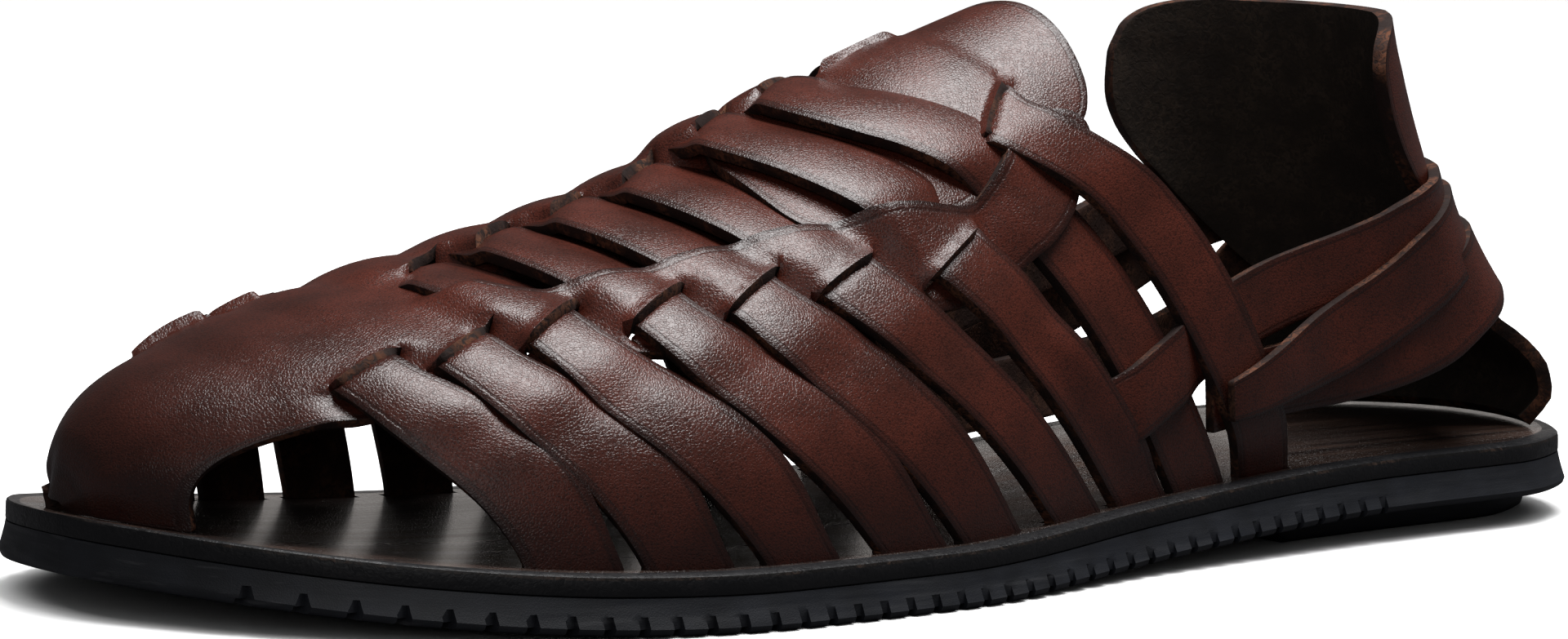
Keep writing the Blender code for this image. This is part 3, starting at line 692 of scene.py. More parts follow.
def wallPoint(turn, height, lift):
    # the heel's wall, by turn from the back (1 is square to the side) and height
    turn, height, lift = np.broadcast_arrays(*[np.asarray(value, float) for value in (turn, height, lift)])
    share = height / heel["height"]
    radius = heelCurves[1](share) * heel["radius"]
    centre = heelCurves[0](share) * last["heelCentre"] - radius
    side = np.where(turn < 0, -1.0, 1.0)
    angle = np.minimum(1.0, np.abs(turn)) * math.pi / 2
    run = np.where(side < 0, heel["outerRun"], heel["innerRun"])
    spread = np.where(side < 0, heel["outerSpread"], heel["innerSpread"])
    ahead = np.maximum(0.0, np.abs(turn) - 1) * run
    x = centre + (radius + lift) * np.cos(angle) - ahead
    y = side * ((radius + lift) * np.sin(angle) + ahead * spread)
    along = np.maximum(0.0, shareAlong(x))
    return np.stack([x, y, footbed(along) + last["gap"] + height], axis=-1)


def lastSide(x, z, side):
    # y of the last's side at a place along and a height
    along = np.clip(shareAlong(x), 0.2, 0.96)
    height, crown, foot, power = formAt(along, side)
    rise = np.clip((z - footbed(along) - last["gap"]) / height, 0, 0.999) ** (1 / power)
    return crown + (foot - crown) * np.sqrt(1 - rise ** 2) ** power


def heelCentre(height):
    share = height / heel["height"]
    return heelCurves[0](share) * last["heelCentre"] - heelCurves[1](share) * heel["radius"]


def ankleGrid(key):
    # a strap round the heel's wall whose ends lie on the last's sides
    rows = ankleStraps[key]
    taper = ankleStraps["taper"].get(key)
    columns = ankleStraps["columns"]
    reach = rows[-1][0]
    lift = curveThrough(ankleStraps[key + "Lift"])
    turn = np.linspace(-reach, reach, ankleStraps["sections"])
    ownSide, farSide = curveThrough(rows), curveThrough(ankleStraps["inner"].get(key, rows))

    def heights(at):
        return np.where(turn < 0, ownSide(at), farSide(at))

    u = np.linspace(-1, 1, columns)
    size = np.abs(turn)
    middle = heights(size) / 1000
    # on the heel the strap leans with its wall, and further forward it stands upright
    leaning = 1 - ease((size - 0.50) / 0.80)
    step = 0.0005
    lean = (heelCentre(middle + step) - heelCentre(middle - step)) / (2 * step)
    lean = lean * np.cos(np.minimum(1, size) * math.pi / 2)
    slope = (heights(size + 0.05) - heights(np.maximum(0, size - 0.05))) / 1000
    slope = slope / (0.1 * heel["outerRun"] * 0.85)
    half = ankleStraps["width"] / 2 * np.sqrt(1 + slope ** 2) / np.sqrt(1 + (lean * leaning) ** 2)
    if taper:
        half = half * (1 - taper[1] * ease((size - taper[0]) / (reach - taper[0])))
    half = np.convolve(np.pad(half, 12, mode="edge"), np.ones(25) / 25, mode="valid")
    height = middle[:, None] + half[:, None] * u[None, :]
    height[:, 0] += wave(turn, 9.0, 0.00018, reach * 5.1)
    height[:, -1] += wave(turn, 9.0, 0.00018, reach * 7.7)
    turns = np.repeat(turn[:, None], columns, axis=1)
    outside = lift(np.abs(turns)) / 1000 + leatherThickness
    points = wallPoint(turns, height, outside)
    shift = (heelCentre(height) - ankleStraps["sideStart"]) * (1 - leaning)[:, None]
    points[..., 0] -= shift
    side = np.where(turns < 0, -1.0, 1.0)
    onSide = lastSide(points[..., 0], points[..., 2], side) + side * outside
    share = ease((np.abs(turns) - 1.0) / 0.6)
    points[..., 1] = points[..., 1] * (1 - share) + onSide * share
    return points, u


def makeAnkleStrap(name, key, materials):
    points, u = ankleGrid(key)
    edge = np.repeat(((1 - np.abs(u)) * ankleStraps["width"] * 500)[None, :], len(points), axis=0)
    piece = gridPiece(name, points, materials, edge)
    turnOutwards(piece, lambda centre: Vector((max(0.0, centre.x), centre.y, 0)))
    return finishLeather(piece)


def makeCounter(materials):
    # one leather piece round the heel, whose width follows the rows above
    settings = {"rows": 64, "columns": 61, "footForward": 0.34, "middleForward": 0.075}
    v = np.linspace(0, 1, settings["rows"])
    height = heel["height"] * np.sin(math.pi / 2 * v) ** 0.9
    share = height / heel["height"]
    span = heelCurves[2](share)
    u = np.linspace(-1, 1, settings["columns"])
    # the inner side reaches further forward at its foot and a little at half height
    middle = ease((share - 0.20) / 0.15) * (1 - ease((share - 0.72) / 0.2))
    forward = settings["footForward"] * (1 - ease((share - 0.10) / 0.24)) + settings["middleForward"] * middle
    turn = span[:, None] * u[None, :] + heel["turn"] + forward[:, None] * np.maximum(0, u)[None, :] ** 2
    heights = np.repeat(height[:, None], len(u), axis=1)
    sag = 0.0005 * (np.sin(turn * 7 + heights * 90) * 0.5 + np.sin(heights * 170 + 1.3) * 0.4)
    points = wallPoint(turn, heights, sag)
    acrossEdge = (1 - np.abs(u))[None, :] * span[:, None] * heel["radius"] * math.pi / 2
    edge = np.minimum(np.minimum(acrossEdge, heel["height"] - heights), heights) * 1000
    piece = gridPiece("counter_leather", points, materials, edge)
    turnOutwards(piece, lambda centre: Vector((centre.x, centre.y, 0)))
    return finishLeather(piece, thickness=heel["leather"], edgeRound=0.0005)


# Sole.
def ringsPiece(name, rings, material):
    # closed body through rings of points, made from one grid whose long edges are joined
    rings = np.stack(rings, axis=1)
    piece = gridPiece(name, np.concatenate([rings, rings[:, :1]], axis=1), [material])
    bpy.ops.object.mode_set(mode="EDIT")
    bpy.ops.mesh.select_all(action="SELECT")
    bpy.ops.mesh.remove_doubles(threshold=0.000005)
    bpy.ops.mesh.select_all(action="SELECT")
    bpy.ops.mesh.fill_holes(sides=0)
    bpy.ops.mesh.select_all(action="SELECT")
    bpy.ops.mesh.normals_make_consistent(inside=False)
    bpy.ops.object.mode_set(mode="OBJECT")
    return piece


def addBlock(mesh, loops):
    # closed block between two loops of points
    loops = [[mesh.verts.new(point) for point in loop] for loop in loops]
    count = len(loops[0])
    for i in range(count):
        j = (i + 1) % count
        mesh.faces.new((loops[0][i], loops[0][j], loops[1][j], loops[1][i]))
    mesh.faces.new(loops[0])
    mesh.faces.new(loops[1])


def cutAway(piece, name, blocks):
    # the blocks are cut out of the piece
    cuts = bmesh.new()
    for loops in blocks:
        addBlock(cuts, loops)
    bmesh.ops.recalc_face_normals(cuts, faces=cuts.faces)
    mesh = bpy.data.meshes.new(name)
    cuts.to_mesh(mesh)
    cuts.free()
    cutter = newObject(name, mesh)
    makeActive(piece)
    cut = piece.modifiers.new(name, "BOOLEAN")
    cut.operation = "DIFFERENCE"
    cut.solver = "EXACT"
    cut.object = cutter
    bpy.ops.object.modifier_apply(modifier=name)
    bpy.data.objects.remove(cutter)


def stations(count, first, final):
    # shares along, closer together at both ends, with x and both edges of the sole there
    along = (first + final) / 2 - (final - first) / 2 * np.cos(np.pi * np.arange(count + 1) / count)
    return along, placeAlong(along), soleEdge(along, -1), soleEdge(along, 1)


sole = {
    "ends": (0.0015, 0.9825), "flare": 0.0018, "stations": 240, "sharpest": 32,
    "pitch": 0.0054, "cutWidth": 0.0017, "cutLength": 0.014, "cutDepth": 0.0011, "cutPast": 0.004,
    "notchHeight": 0.0030, "notchDepth": 0.0009, "firstCut": 0.066, "cuts": 41,
    "liftLength": 0.082, "liftInset": 0.0080, "liftBevel": 0.0020, "liftThinnest": 0.0010,
    "liftBack": 0.030, "liftStations": 90,
    "blackRim": 0.0036, "slotClear": 0.0004, "slotWide": 0.0024,
}


def makeOutsole(material):
    along, x, outer, inner = stations(sole["stations"], *sole["ends"])
    low = underside(along)
    spread = sole["flare"] * np.minimum(1.0, (inner - outer) / (8 * sole["flare"]))
    share = spread / sole["flare"]
    wear = wave(along, 26.0, 0.00018, 4.2)
    profile = [  # share of the flare, step in, height above the underside
        (1.0, 0.0014, 0.0000), (1.0, 0.0008, 0.00012), (1.0, 0.0003, 0.0005), (1.0, 0.0, 0.0012),
        (0.80, 0.0, 0.0019), (0.58, 0.0, 0.0027), (0.36, 0.0, 0.0036), (0.16, 0.0, 0.0046),
        (0.03, 0.0, 0.0053), (0.0, 0.00005, 0.00565), (0.0, 0.0006, 0.00575),
    ]
    rings = []
    for side, edge, order in ((-1, outer, 1), (1, inner, -1)):
        for flareShare, inset, height in profile[::order]:
            y = edge + side * (spread * flareShare - inset * share + wear * (0.3 < flareShare < 0.99))
            rings.append(np.stack([x, y, low + height], axis=-1))
    piece = ringsPiece("outsole_rubber", rings, material)
    cutAway(piece, "tread", treadCuts())
    bpy.ops.object.shade_smooth_by_angle(angle=math.radians(sole["sharpest"]))
    return piece


def treadCuts():
    # grooves under both edges, each with its notch up the side
    for i in range(sole["cuts"]):
        place = sole["firstCut"] + i * sole["pitch"]
        along = place / last["length"]
        low = float(underside(along))
        for side in (-1, 1):
            edge = float(soleEdge(along, side)) + side * sole["flare"]
            past, inside = edge + side * sole["cutPast"], edge - side * sole["cutLength"]
            notch = edge - side * sole["notchDepth"]
            profile = [
                (past, low - 0.002), (inside, low - 0.002), (inside, low + sole["cutDepth"]),
                (notch, low + sole["cutDepth"]), (notch, low + sole["notchHeight"]),
                (past, low + sole["notchHeight"]),
            ]
            middle = last["heelCentre"] - place
            yield [[(middle + shift * sole["cutWidth"], y, z) for y, z in profile] for shift in (-0.5, 0.5)]


def makeHeelLift(material):
    final = sole["liftLength"] / last["length"]
    along, x, outer, inner = stations(sole["liftStations"], sole["liftBack"], final)
    outer, inner = outer + sole["liftInset"], inner - sole["liftInset"]
    end = (x - (last["heelCentre"] - sole["liftLength"])) / sole["liftBevel"]
    bevel = sole["liftBevel"] * np.minimum(1.0, (inner - outer) / (4 * sole["liftBevel"]))
    low = np.where(end > 1, 0.0, sole["liftBevel"] * (1 - np.maximum(0.0, end)) * 0.5)
    high = np.maximum(low + sole["liftThinnest"], underside(along) - last["gap"])
    profile = ((1.0, 0.0), (0.55, 0.10), (0.18, 0.32), (0.0, 0.7))  # share of the bevel, height
    outerSide, innerSide = [], []
    for share, up in profile:
        z = low + sole["liftBevel"] * up
        outerSide.append(np.stack([x, outer + bevel * share, z], axis=-1))
        innerSide.append(np.stack([x, inner - bevel * share, z], axis=-1))
    top = [np.stack([x, edge, high], axis=-1) for edge in (outer, inner)]
    piece = ringsPiece("heel_lift_rubber", outerSide + top + innerSide[::-1], material)
    makeActive(piece)
    bpy.ops.object.shade_smooth_by_angle(angle=math.radians(sole["sharpest"]))
    return piece


def makeInsole(material, edgeMaterials):
    along, x, outer, inner = stations(sole["stations"], *sole["ends"])
    high = footbed(along)
    share = np.minimum(1.0, (inner - outer) / 0.012)
    thick = last["insole"]
    wear = wave(along, 30.0, 0.00015, 9.1)
    margin = 0.004
    profile = [  # step in, height
        (0.00010, -0.00010), (0.0, 0.0001), (0.0, thick * 0.5), (0.00005, thick - 0.0007),
        (0.00025, thick - 0.00025), (0.0008, thick), (margin, thick),
    ]
    rings = []
    for side, edge, order in ((-1, outer, 1), (1, inner, -1)):
        for inset, height in profile[::order]:
            y = edge - side * (inset * share + np.abs(wear) * (height > 0.001))
            rings.append(np.stack([x, y, high - thick + height], axis=-1))
    across = np.linspace(0.06, 0.94, 23)
    width = inner - outer - 2 * margin * share
    top = [np.stack([x, outer + margin * share + width * t, high], axis=-1) for t in across]
    piece = ringsPiece("insole_leather", rings[:len(profile)] + top + rings[len(profile):], material)
    for other in edgeMaterials:
        piece.data.materials.append(other)
    cutAway(piece, "slots", strapSlots())
    for face in piece.data.polygons:  # the cut side, the rounded edge, whose upward face is lighter brown as bare fibre and as a painted highlight along the rim, and the blackened margin
        if abs(face.normal.z) < 0.75:
            face.material_index = 2 if face.normal.z > 0.22 else 1
        elif face.normal.z > 0 and rimDistance(face.center) < sole["blackRim"]:
            face.material_index = 1
    bpy.ops.object.shade_smooth_by_angle(angle=math.radians(sole["sharpest"]))
    return piece


def rimDistance(place):
    along = shareAlong(place.x)
    return min(place.y - float(soleEdge(along, -1)), float(soleEdge(along, 1)) - place.y)


def strapSlots():
    # a slot round each strap's foot, a little clear of the leather
    for number in range(9):
        path = strapPath(number)
        for across in (-1.0, 1.0):
            along = float(path(across))
            half = straps["width"] / 2 / blankLength * straps["slant"]
            a = lastPoint(along - half, across)
            b = lastPoint(along + half, across)
            run = (b - a) / np.linalg.norm(b - a)
            side = np.array([-run[1], run[0], 0])
            if side[1] * across < 0:
                side = -side
            middle = (a + b) / 2
            length = np.linalg.norm(b - a) / 2 + sole["slotClear"]
            near, far = -sole["slotClear"], sole["slotWide"]
            corners = [(-length, near), (length, near), (length, far), (-length, far)]
            flat = [middle + run * p + side * q for p, q in corners]
            yield [[corner + np.array([0, 0, z]) for corner in flat] for z in (0.002, -0.006)]


# Materials.
def newGroup(name, inputs, outputs):
    group = bpy.data.node_groups.new(name, "ShaderNodeTree")
    for label, kind, value in inputs:
        socket = group.interface.new_socket(name=label, in_out="INPUT", socket_type=kind)
        if value is not None:
            socket.default_value = value
    for label, kind in outputs:
        group.interface.new_socket(name=label, in_out="OUTPUT", socket_type=kind)
    return group, group.nodes.new("NodeGroupInput"), group.nodes.new("NodeGroupOutput")


def addNode(tree, kind, **settings):
    node = tree.nodes.new(kind)
    for key, value in settings.items():
        setattr(node, key, value)
    return node


def link(tree, start, end):
    tree.links.new(start, end)


def setSocket(tree, socket, value):
    # a number or colour is set, an output is linked
    if isinstance(value, (int, float)):
        socket.default_value = value
    elif isinstance(value, tuple):
        socket.default_value = value + (1.0,)
    elif value is not None:
        link(tree, value, socket)


def mathNode(tree, operation, a, b=None):
    node = addNode(tree, "ShaderNodeMath", operation=operation)
    for socket, value in zip(node.inputs, (a, b)):
        setSocket(tree, socket, value)
    return node.outputs[0]


def timesNode(tree, a, b):
    return mathNode(tree, "MULTIPLY", a, b)


def rangeNode(tree, value, fromLow, fromHigh, toLow=0.0, toHigh=1.0):
    node = addNode(tree, "ShaderNodeMapRange", clamp=True)
    link(tree, value, node.inputs["Value"])
    for socket, amount in zip(node.inputs[1:5], (fromLow, fromHigh, toLow, toHigh)):
        socket.default_value = amount
    return node.outputs["Result"]


def noiseNode(tree, vector, scale, detail=2.0, distortion=0.0):
    node = addNode(tree, "ShaderNodeTexNoise")
    link(tree, vector, node.inputs["Vector"])
    for label, value in (("Scale", scale), ("Detail", detail), ("Distortion", distortion)):
        setSocket(tree, node.inputs[label], value)
    return node


def stretched(tree, place, scale):
    node = addNode(tree, "ShaderNodeMapping")
    node.inputs["Scale"].default_value = scale
    link(tree, place, node.inputs["Vector"])
    return node.outputs[0]


def mixColour(tree, factor, a, b):
    node = addNode(tree, "ShaderNodeMix", data_type="RGBA", clamp_factor=True)
    for socket, value in ((node.inputs["Factor"], factor), (node.inputs[6], a), (node.inputs[7], b)):
        setSocket(tree, socket, value)
    return node.outputs[2]


def skinGrainGroup():
    # fine pebbled leather grain with pores and soft blotches
    group, start, end = newGroup("skinGrain",
        [("Vector", "NodeSocketVector", None), ("Cell Scale", "NodeSocketFloat", 1900.0),
         ("Blotch Scale", "NodeSocketFloat", 90.0)],
        [("Height", "NodeSocketFloat"), ("Blotch", "NodeSocketFloat"), ("Fine", "NodeSocketFloat")])
    place = start.outputs["Vector"]
    warp = noiseNode(group, place, 700.0)
    bend = addNode(group, "ShaderNodeVectorMath", operation="MULTIPLY_ADD")
    link(group, warp.outputs["Color"], bend.inputs[0])
    bend.inputs[1].default_value = (0.0005, 0.0005, 0.0005)
    link(group, place, bend.inputs[2])
    cells = addNode(group, "ShaderNodeTexVoronoi", feature="DISTANCE_TO_EDGE")
    link(group, bend.outputs[0], cells.inputs["Vector"])
    link(group, start.outputs["Cell Scale"], cells.inputs["Scale"])
    pebble = rangeNode(group, cells.outputs["Distance"], 0.0, 0.28)
    soft = noiseNode(group, place, start.outputs["Blotch Scale"], 6.0)
    fine = noiseNode(group, place, 2600.0, 3.0)
    height = mathNode(group, "ADD", timesNode(group, pebble, 0.6), timesNode(group, fine.outputs["Fac"], 0.5))
    link(group, height, end.inputs["Height"])
    link(group, soft.outputs["Fac"], end.inputs["Blotch"])
    link(group, fine.outputs["Fac"], end.inputs["Fine"])
    return group


def edgeLineGroup():
    # dark burnish at a cut edge and the creased line that runs beside it
    group, start, end = newGroup("edgeLine",
        [("From Edge", "NodeSocketFloat", 5.0), ("Jitter", "NodeSocketFloat", 0.5)],
        [("Burnish", "NodeSocketFloat"), ("Crease", "NodeSocketFloat")])
    jitter = timesNode(group, mathNode(group, "SUBTRACT", start.outputs["Jitter"], 0.5), 0.9)
    moved = mathNode(group, "ADD", start.outputs["From Edge"], jitter)
    burnish = rangeNode(group, moved, 0.1, 1.9, 1.0, 0.0)
    away = mathNode(group, "ABSOLUTE", mathNode(group, "SUBTRACT", start.outputs["From Edge"], 1.15))
    crease = rangeNode(group, away, 0.10, 0.32, 1.0, 0.0)
    link(group, burnish, end.inputs["Burnish"])
    link(group, crease, end.inputs["Crease"])
    return group


def fibreGroup():
    # matted fibres of a flesh side or a cut edge
    group, start, end = newGroup("cutFibre",
        [("Vector", "NodeSocketVector", None), ("Scale", "NodeSocketFloat", 900.0)],
        [("Fibre", "NodeSocketFloat"), ("Patch", "NodeSocketFloat")])
    strands = noiseNode(group, start.outputs["Vector"], start.outputs["Scale"], 5.0, 1.2)
    patch = noiseNode(group, start.outputs["Vector"], 160.0, 3.0)
    link(group, strands.outputs["Fac"], end.inputs["Fibre"])
    link(group, patch.outputs["Fac"], end.inputs["Patch"])
    return group


def newMaterial(name, settings):
    material = bpy.data.materials.new(name)
    material.use_nodes = True
    tree = material.node_tree
    shader = tree.nodes["Principled BSDF"]
    for label, value in settings.items():
        shader.inputs[label].default_value = value
    place = addNode(tree, "ShaderNodeTexCoord").outputs["Object"]
    return material, tree, shader, place


def placeGroup(tree, group, values):
    node = addNode(tree, "ShaderNodeGroup", node_tree=group)
    for label, value in values.items():
        setSocket(tree, node.inputs[label], value)
    return node


def finishShader(tree, shader, colour, roughness, height, finish):
    # colour and roughness go straight into the shader, and the height through a bump
    bump = addNode(tree, "ShaderNodeBump")
    bump.inputs["Strength"].default_value = finish["grainStrength"]
    bump.inputs["Distance"].default_value = finish["grainDepth"]
    link(tree, height, bump.inputs["Height"])
    sockets = {"Base Color": colour, "Roughness": roughness, "Normal": bump.outputs["Normal"]}
    for label, output in sockets.items():
        link(tree, output, shader.inputs[label])


leatherFinish = {
    "dark": (0.014, 0.0042, 0.0032), "mid": (0.066, 0.0158, 0.0098), "red": (0.118, 0.0240, 0.0135),
    "burnish": (0.008, 0.0035, 0.0030), "roughness": (0.26, 0.34), "coat": 0.14, "coatRoughness": 0.22,
    "grainDepth": 0.00010, "grainStrength": 0.55,
    "lowDark": (0.012, 0.034, 0.55),    # darker towards the sole: from, to and how much
    "toeDark": (-0.255, -0.195, 0.75),  # darker towards the toe
}
rawFinish = {"grainDepth": 0.0002, "grainStrength": 0.8}
footbedFinish = {
    "base": (0.014, 0.0065, 0.0048), "streak": (0.062, 0.031, 0.020), "blotch": (0.016, 0.008, 0.006),
    "streaks": (14.0, 260.0, 60.0), "grainDepth": 0.00022, "grainStrength": 0.8,
}
rubberFinish = {
    "dark": (0.009, 0.0100, 0.0135), "light": (0.016, 0.0180, 0.0245), "scuff": (0.060, 0.060, 0.066),
    "scuffs": (60.0, 90.0, 900.0), "scuffedTo": (-0.245, -0.195),
    "grainDepth": 0.00006, "grainStrength": 0.35,
}


def leatherGrain(name, grain, edges, lowDark=True):
    finish = leatherFinish
    material, tree, shader, place = newMaterial(name, {
        "Coat Weight": finish["coat"], "Coat Roughness": finish["coatRoughness"], "IOR": 1.47})
    skin = placeGroup(tree, grain, {"Vector": place})
    edge = addNode(tree, "ShaderNodeAttribute", attribute_name="fromEdge").outputs["Fac"]
    lines = placeGroup(tree, edges, {"From Edge": edge, "Jitter": skin.outputs["Blotch"]})
    blotch = rangeNode(tree, skin.outputs["Blotch"], 0.34, 0.68)
    colour = mixColour(tree, blotch, finish["mid"], finish["red"])
    pores = rangeNode(tree, skin.outputs["Fine"], 0.36, 0.50, 0.6, 0.0)
    colour = mixColour(tree, pores, colour, finish["dark"])
    for label, amount in (("Burnish", 0.75), ("Crease", 0.35)):
        colour = mixColour(tree, timesNode(tree, lines.outputs[label], amount), colour, finish["burnish"])
    if lowDark:
        split = addNode(tree, "ShaderNodeSeparateXYZ")
        link(tree, place, split.inputs[0])
        low = rangeNode(tree, split.outputs["Z"], *finish["lowDark"], 0.0)
        toe = rangeNode(tree, split.outputs["X"], *finish["toeDark"], 0.0)
        colour = mixColour(tree, mathNode(tree, "MAXIMUM", low, toe), colour, finish["dark"])
    roughness = rangeNode(tree, skin.outputs["Blotch"], 0.3, 0.7, *finish["roughness"])
    height = mathNode(tree, "SUBTRACT", skin.outputs["Height"], timesNode(tree, lines.outputs["Crease"], 0.9))
    finishShader(tree, shader, colour, roughness, height, finish)
    return material


def rawLeather(name, fibre, dark, light, cover, roughness=0.85):
    material, tree, shader, place = newMaterial(name, {"IOR": 1.4})
    mat = placeGroup(tree, fibre, {"Vector": place})
    fibres = mat.outputs["Fibre"]
    patches = rangeNode(tree, mat.outputs["Patch"], *cover)
    amount = timesNode(tree, rangeNode(tree, fibres, 0.38, 0.62), patches)
    colour = mixColour(tree, amount, dark, light)
    dull = rangeNode(tree, fibres, 0.3, 0.7, roughness - 0.12, roughness + 0.08)
    finishShader(tree, shader, colour, dull, fibres, rawFinish)
    return material


def footbedLeather(grain):
    finish = footbedFinish
    material, tree, shader, place = newMaterial("footbed_gloss", {
        "Coat Weight": 0.35, "Coat Roughness": 0.22, "IOR": 1.48})
    skin = placeGroup(tree, grain, {"Vector": place, "Blotch Scale": 45.0})
    streak = noiseNode(tree, stretched(tree, place, finish["streaks"]), 1.0, 5.0).outputs["Fac"]
    worn = rangeNode(tree, streak, 0.38, 0.66)
    colour = mixColour(tree, worn, finish["base"], finish["streak"])
    dark = rangeNode(tree, skin.outputs["Blotch"], 0.42, 0.6, 0.55, 0.0)
    colour = mixColour(tree, dark, colour, finish["blotch"])
    roughness = rangeNode(tree, streak, 0.3, 0.7, 0.26, 0.46)
    height = mathNode(tree, "ADD", timesNode(tree, streak, 2.0), skin.outputs["Height"])
    finishShader(tree, shader, colour, roughness, height, finish)
    return material


def rubberBlack(grain):
    finish = rubberFinish
    material, tree, shader, place = newMaterial("scuffed_rubber", {"IOR": 1.5})
    skin = placeGroup(tree, grain, {"Vector": place, "Cell Scale": 2400.0, "Blotch Scale": 140.0})
    scuff = noiseNode(tree, stretched(tree, place, finish["scuffs"]), 1.0, 6.0).outputs["Fac"]
    marks = rangeNode(tree, scuff, 0.60, 0.74)
    blotch = rangeNode(tree, skin.outputs["Blotch"], 0.35, 0.7)
    colour = mixColour(tree, blotch, finish["dark"], finish["light"])
    split = addNode(tree, "ShaderNodeSeparateXYZ")
    link(tree, place, split.inputs[0])
    worn = rangeNode(tree, split.outputs["X"], *finish["scuffedTo"], 1.0, 0.3)
    colour = mixColour(tree, timesNode(tree, marks, worn), colour, finish["scuff"])
    roughness = rangeNode(tree, scuff, 0.3, 0.75, 0.42, 0.70)
    height = mathNode(tree, "ADD", skin.outputs["Height"], scuff)
    finishShader(tree, shader, colour, roughness, height, finish)
    return material


grain = skinGrainGroup()
edges = edgeLineGroup()
fibre = fibreGroup()
strapLeather = leatherGrain("burnished_strap", grain, edges)
counterLeather = leatherGrain("burnished_counter", grain, edges, lowDark=False)
flesh = rawLeather("flesh_side", fibre, (0.030, 0.012, 0.008), (0.120, 0.050, 0.028), (0.40, 0.65))
cutEdge = rawLeather("cut_edge", fibre, (0.018, 0.0075, 0.0055), (0.200, 0.075, 0.038), (0.44, 0.70))
suede = rawLeather("counter_suede", fibre, (0.028, 0.020, 0.0155), (0.070, 0.048, 0.035), (0.35, 0.70))
insoleEdge = rawLeather(
    "insole_edge", fibre, (0.008, 0.0080, 0.0095), (0.016, 0.0145, 0.0160), (0.40, 0.75), 0.46)
# lighter brown on the insole's rounded top edge: partly bare fibre, partly a painted highlight along the rim
insoleRimAndHighlight = rawLeather("insole_rim_and_highlight", fibre, (0.010, 0.009, 0.009), (0.075, 0.046, 0.034), (0.45, 0.70), 0.46)
footbedTop = footbedLeather(grain)
rubber = rubberBlack(grain)
print("materials ready")

strapMaterials = [strapLeather, flesh, cutEdge]


def keepPiece(piece, node="upper"):
    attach(piece, "root")
    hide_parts(node)


keepPiece(makeOutsole(rubber), "outsole")
keepPiece(makeHeelLift(rubber), "heel_lift")
keepPiece(makeInsole(footbedTop, [insoleEdge, insoleRimAndHighlight]), "insole")
print("sole ready")
keepPiece(makeToePiece(strapMaterials))
print("toe piece ready")
for number in range(8):
    keepPiece(makeStrap("cross_strap_%d" % (number + 1), number, strapMaterials))
keepPiece(makeStrap("collar_strap", 8, strapMaterials))
for key in ("upper", "middle", "lower"):
    keepPiece(makeAnkleStrap(key + "_ankle_strap", key, strapMaterials))
print("straps ready")
keepPiece(makeTongue(strapMaterials), "tongue_tab")
keepPiece(makeCounter([counterLeather, suede, cutEdge]), "heel_counter")
print("tongue and counter ready")


# Studio.
studio = {
    "azimuth": -40.0, "elevation": 6.48, "roll": 1.41, "distance": 1.0,
    "target": (-0.12194, 0.0, 0.0395), "lens": 142.83,
    "floor": (0.90, 0.90, 0.90), "floorSize": 14,
    "floorInGloss": (0.05, 0.05, 0.053),  # what the leather sees of the floor
    "room": 0.07,
    "lights": [  # name, place, target, size, power, colour
        ("overhead_softbox", (0.03, -0.08, 1.0), (-0.12, 0.0, 0.03), (0.60, 0.60), 13.5, (1, 1, 1)),
        ("front_fill", (-1.5, -1.4, 0.8), (-0.12, 0.0, 0.04), (1.5, 1.0), 4.0, (1, 1, 1)),
        ("floor_light", (0.6, 0.9, 3.0), (0.6, 0.9, 0.0), (7.0, 7.0), 235, (1, 1, 1)),
        ("footbed_glint", (1.15, 1.40, 0.24), (-0.12, 0.0, 0.01), (1.1, 0.30), 1.0, (1.0, 0.93, 0.88)),
    ],
}


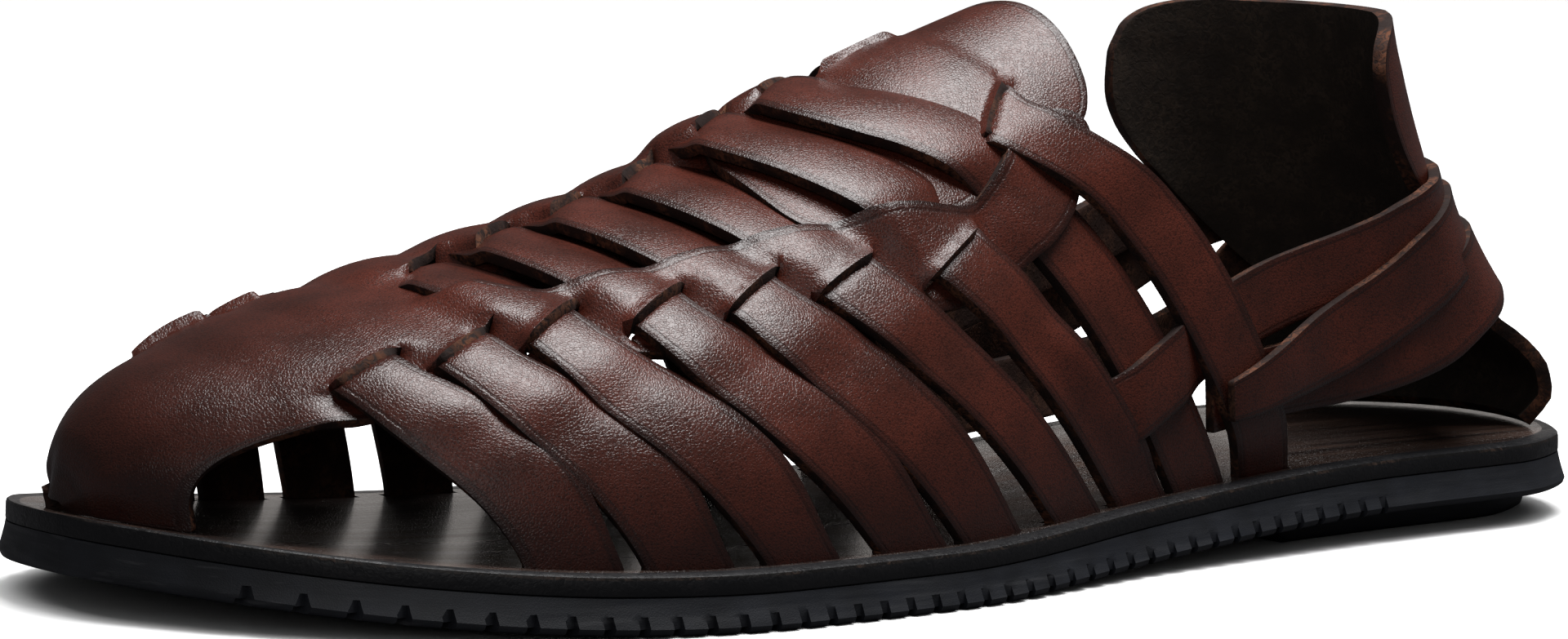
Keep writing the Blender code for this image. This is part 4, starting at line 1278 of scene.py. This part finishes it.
def placeCamera():
    azimuth, elevation, roll = [math.radians(studio[key]) for key in ("azimuth", "elevation", "roll")]
    level = math.cos(elevation)
    back = Vector((math.sin(azimuth) * level, -math.cos(azimuth) * level, math.sin(elevation)))
    right = Vector((math.cos(azimuth), math.sin(azimuth), 0))
    up = back.cross(right)
    x = right * math.cos(roll) + up * math.sin(roll)
    y = up * math.cos(roll) - right * math.sin(roll)
    data = bpy.data.cameras.new("photo_camera")
    camera = newObject("photo_camera", data)
    data.lens = studio["lens"]
    data.sensor_width = 36.0
    data.sensor_fit = "HORIZONTAL"
    data.clip_start = 0.01
    data.clip_end = 50
    place = Vector(studio["target"]) + back * studio["distance"]
    turned = Matrix((x, y, back)).transposed().to_4x4()
    camera.matrix_world = Matrix.Translation(place) @ turned
    bpy.context.scene.camera = camera


def areaLight(name, place, target, size, power, colour):
    data = bpy.data.lights.new(name, "AREA")
    data.shape = "RECTANGLE"
    data.size, data.size_y = size
    data.energy = power
    data.color = colour
    lamp = newObject(name, data)
    lamp.location = place
    lamp.rotation_euler = (Vector(target) - Vector(place)).to_track_quat("-Z", "Y").to_euler()
    return lamp


def shineOnlyOn(lamp, lit):
    only = bpy.data.collections.new("only_" + lit.name)
    only.objects.link(lit)
    lamp.light_linking.receiver_collection = only


def makeFloor():
    clearSelection()
    bpy.ops.mesh.primitive_plane_add(size=studio["floorSize"], location=(0, 0, 0))
    floor = bpy.context.object
    floor.name = "studio_floor"
    material, tree, shader, place = newMaterial("pale_floor", {"Roughness": 0.9, "Specular IOR Level": 0.1})
    shader.inputs["Base Color"].default_value = studio["floor"] + (1.0,)
    dull = addNode(tree, "ShaderNodeBsdfDiffuse")
    dull.inputs["Color"].default_value = studio["floorInGloss"] + (1.0,)
    rays = addNode(tree, "ShaderNodeLightPath")
    seen = mathNode(tree, "MAXIMUM", rays.outputs["Is Glossy Ray"], rays.outputs["Is Diffuse Ray"])
    mix = addNode(tree, "ShaderNodeMixShader")
    for socket, output in zip(mix.inputs, (seen, shader.outputs[0], dull.outputs[0])):
        link(tree, output, socket)
    link(tree, mix.outputs[0], tree.nodes["Material Output"].inputs["Surface"])
    floor.data.materials.append(material)
    return floor


placeCamera()
floor = makeFloor()
lamps = {row[0]: areaLight(*row) for row in studio["lights"]}
shineOnlyOn(lamps["floor_light"], floor)
shineOnlyOn(lamps["footbed_glint"], bpy.data.objects["insole_leather"])
world = bpy.data.worlds.new("soft_room")
bpy.context.scene.world = world
world.use_nodes = True
background = world.node_tree.nodes["Background"]
background.inputs["Color"].default_value = (1, 1, 1, 1)
background.inputs["Strength"].default_value = studio["room"]
bpy.context.scene.view_settings.view_transform = "Standard"
print("studio ready")
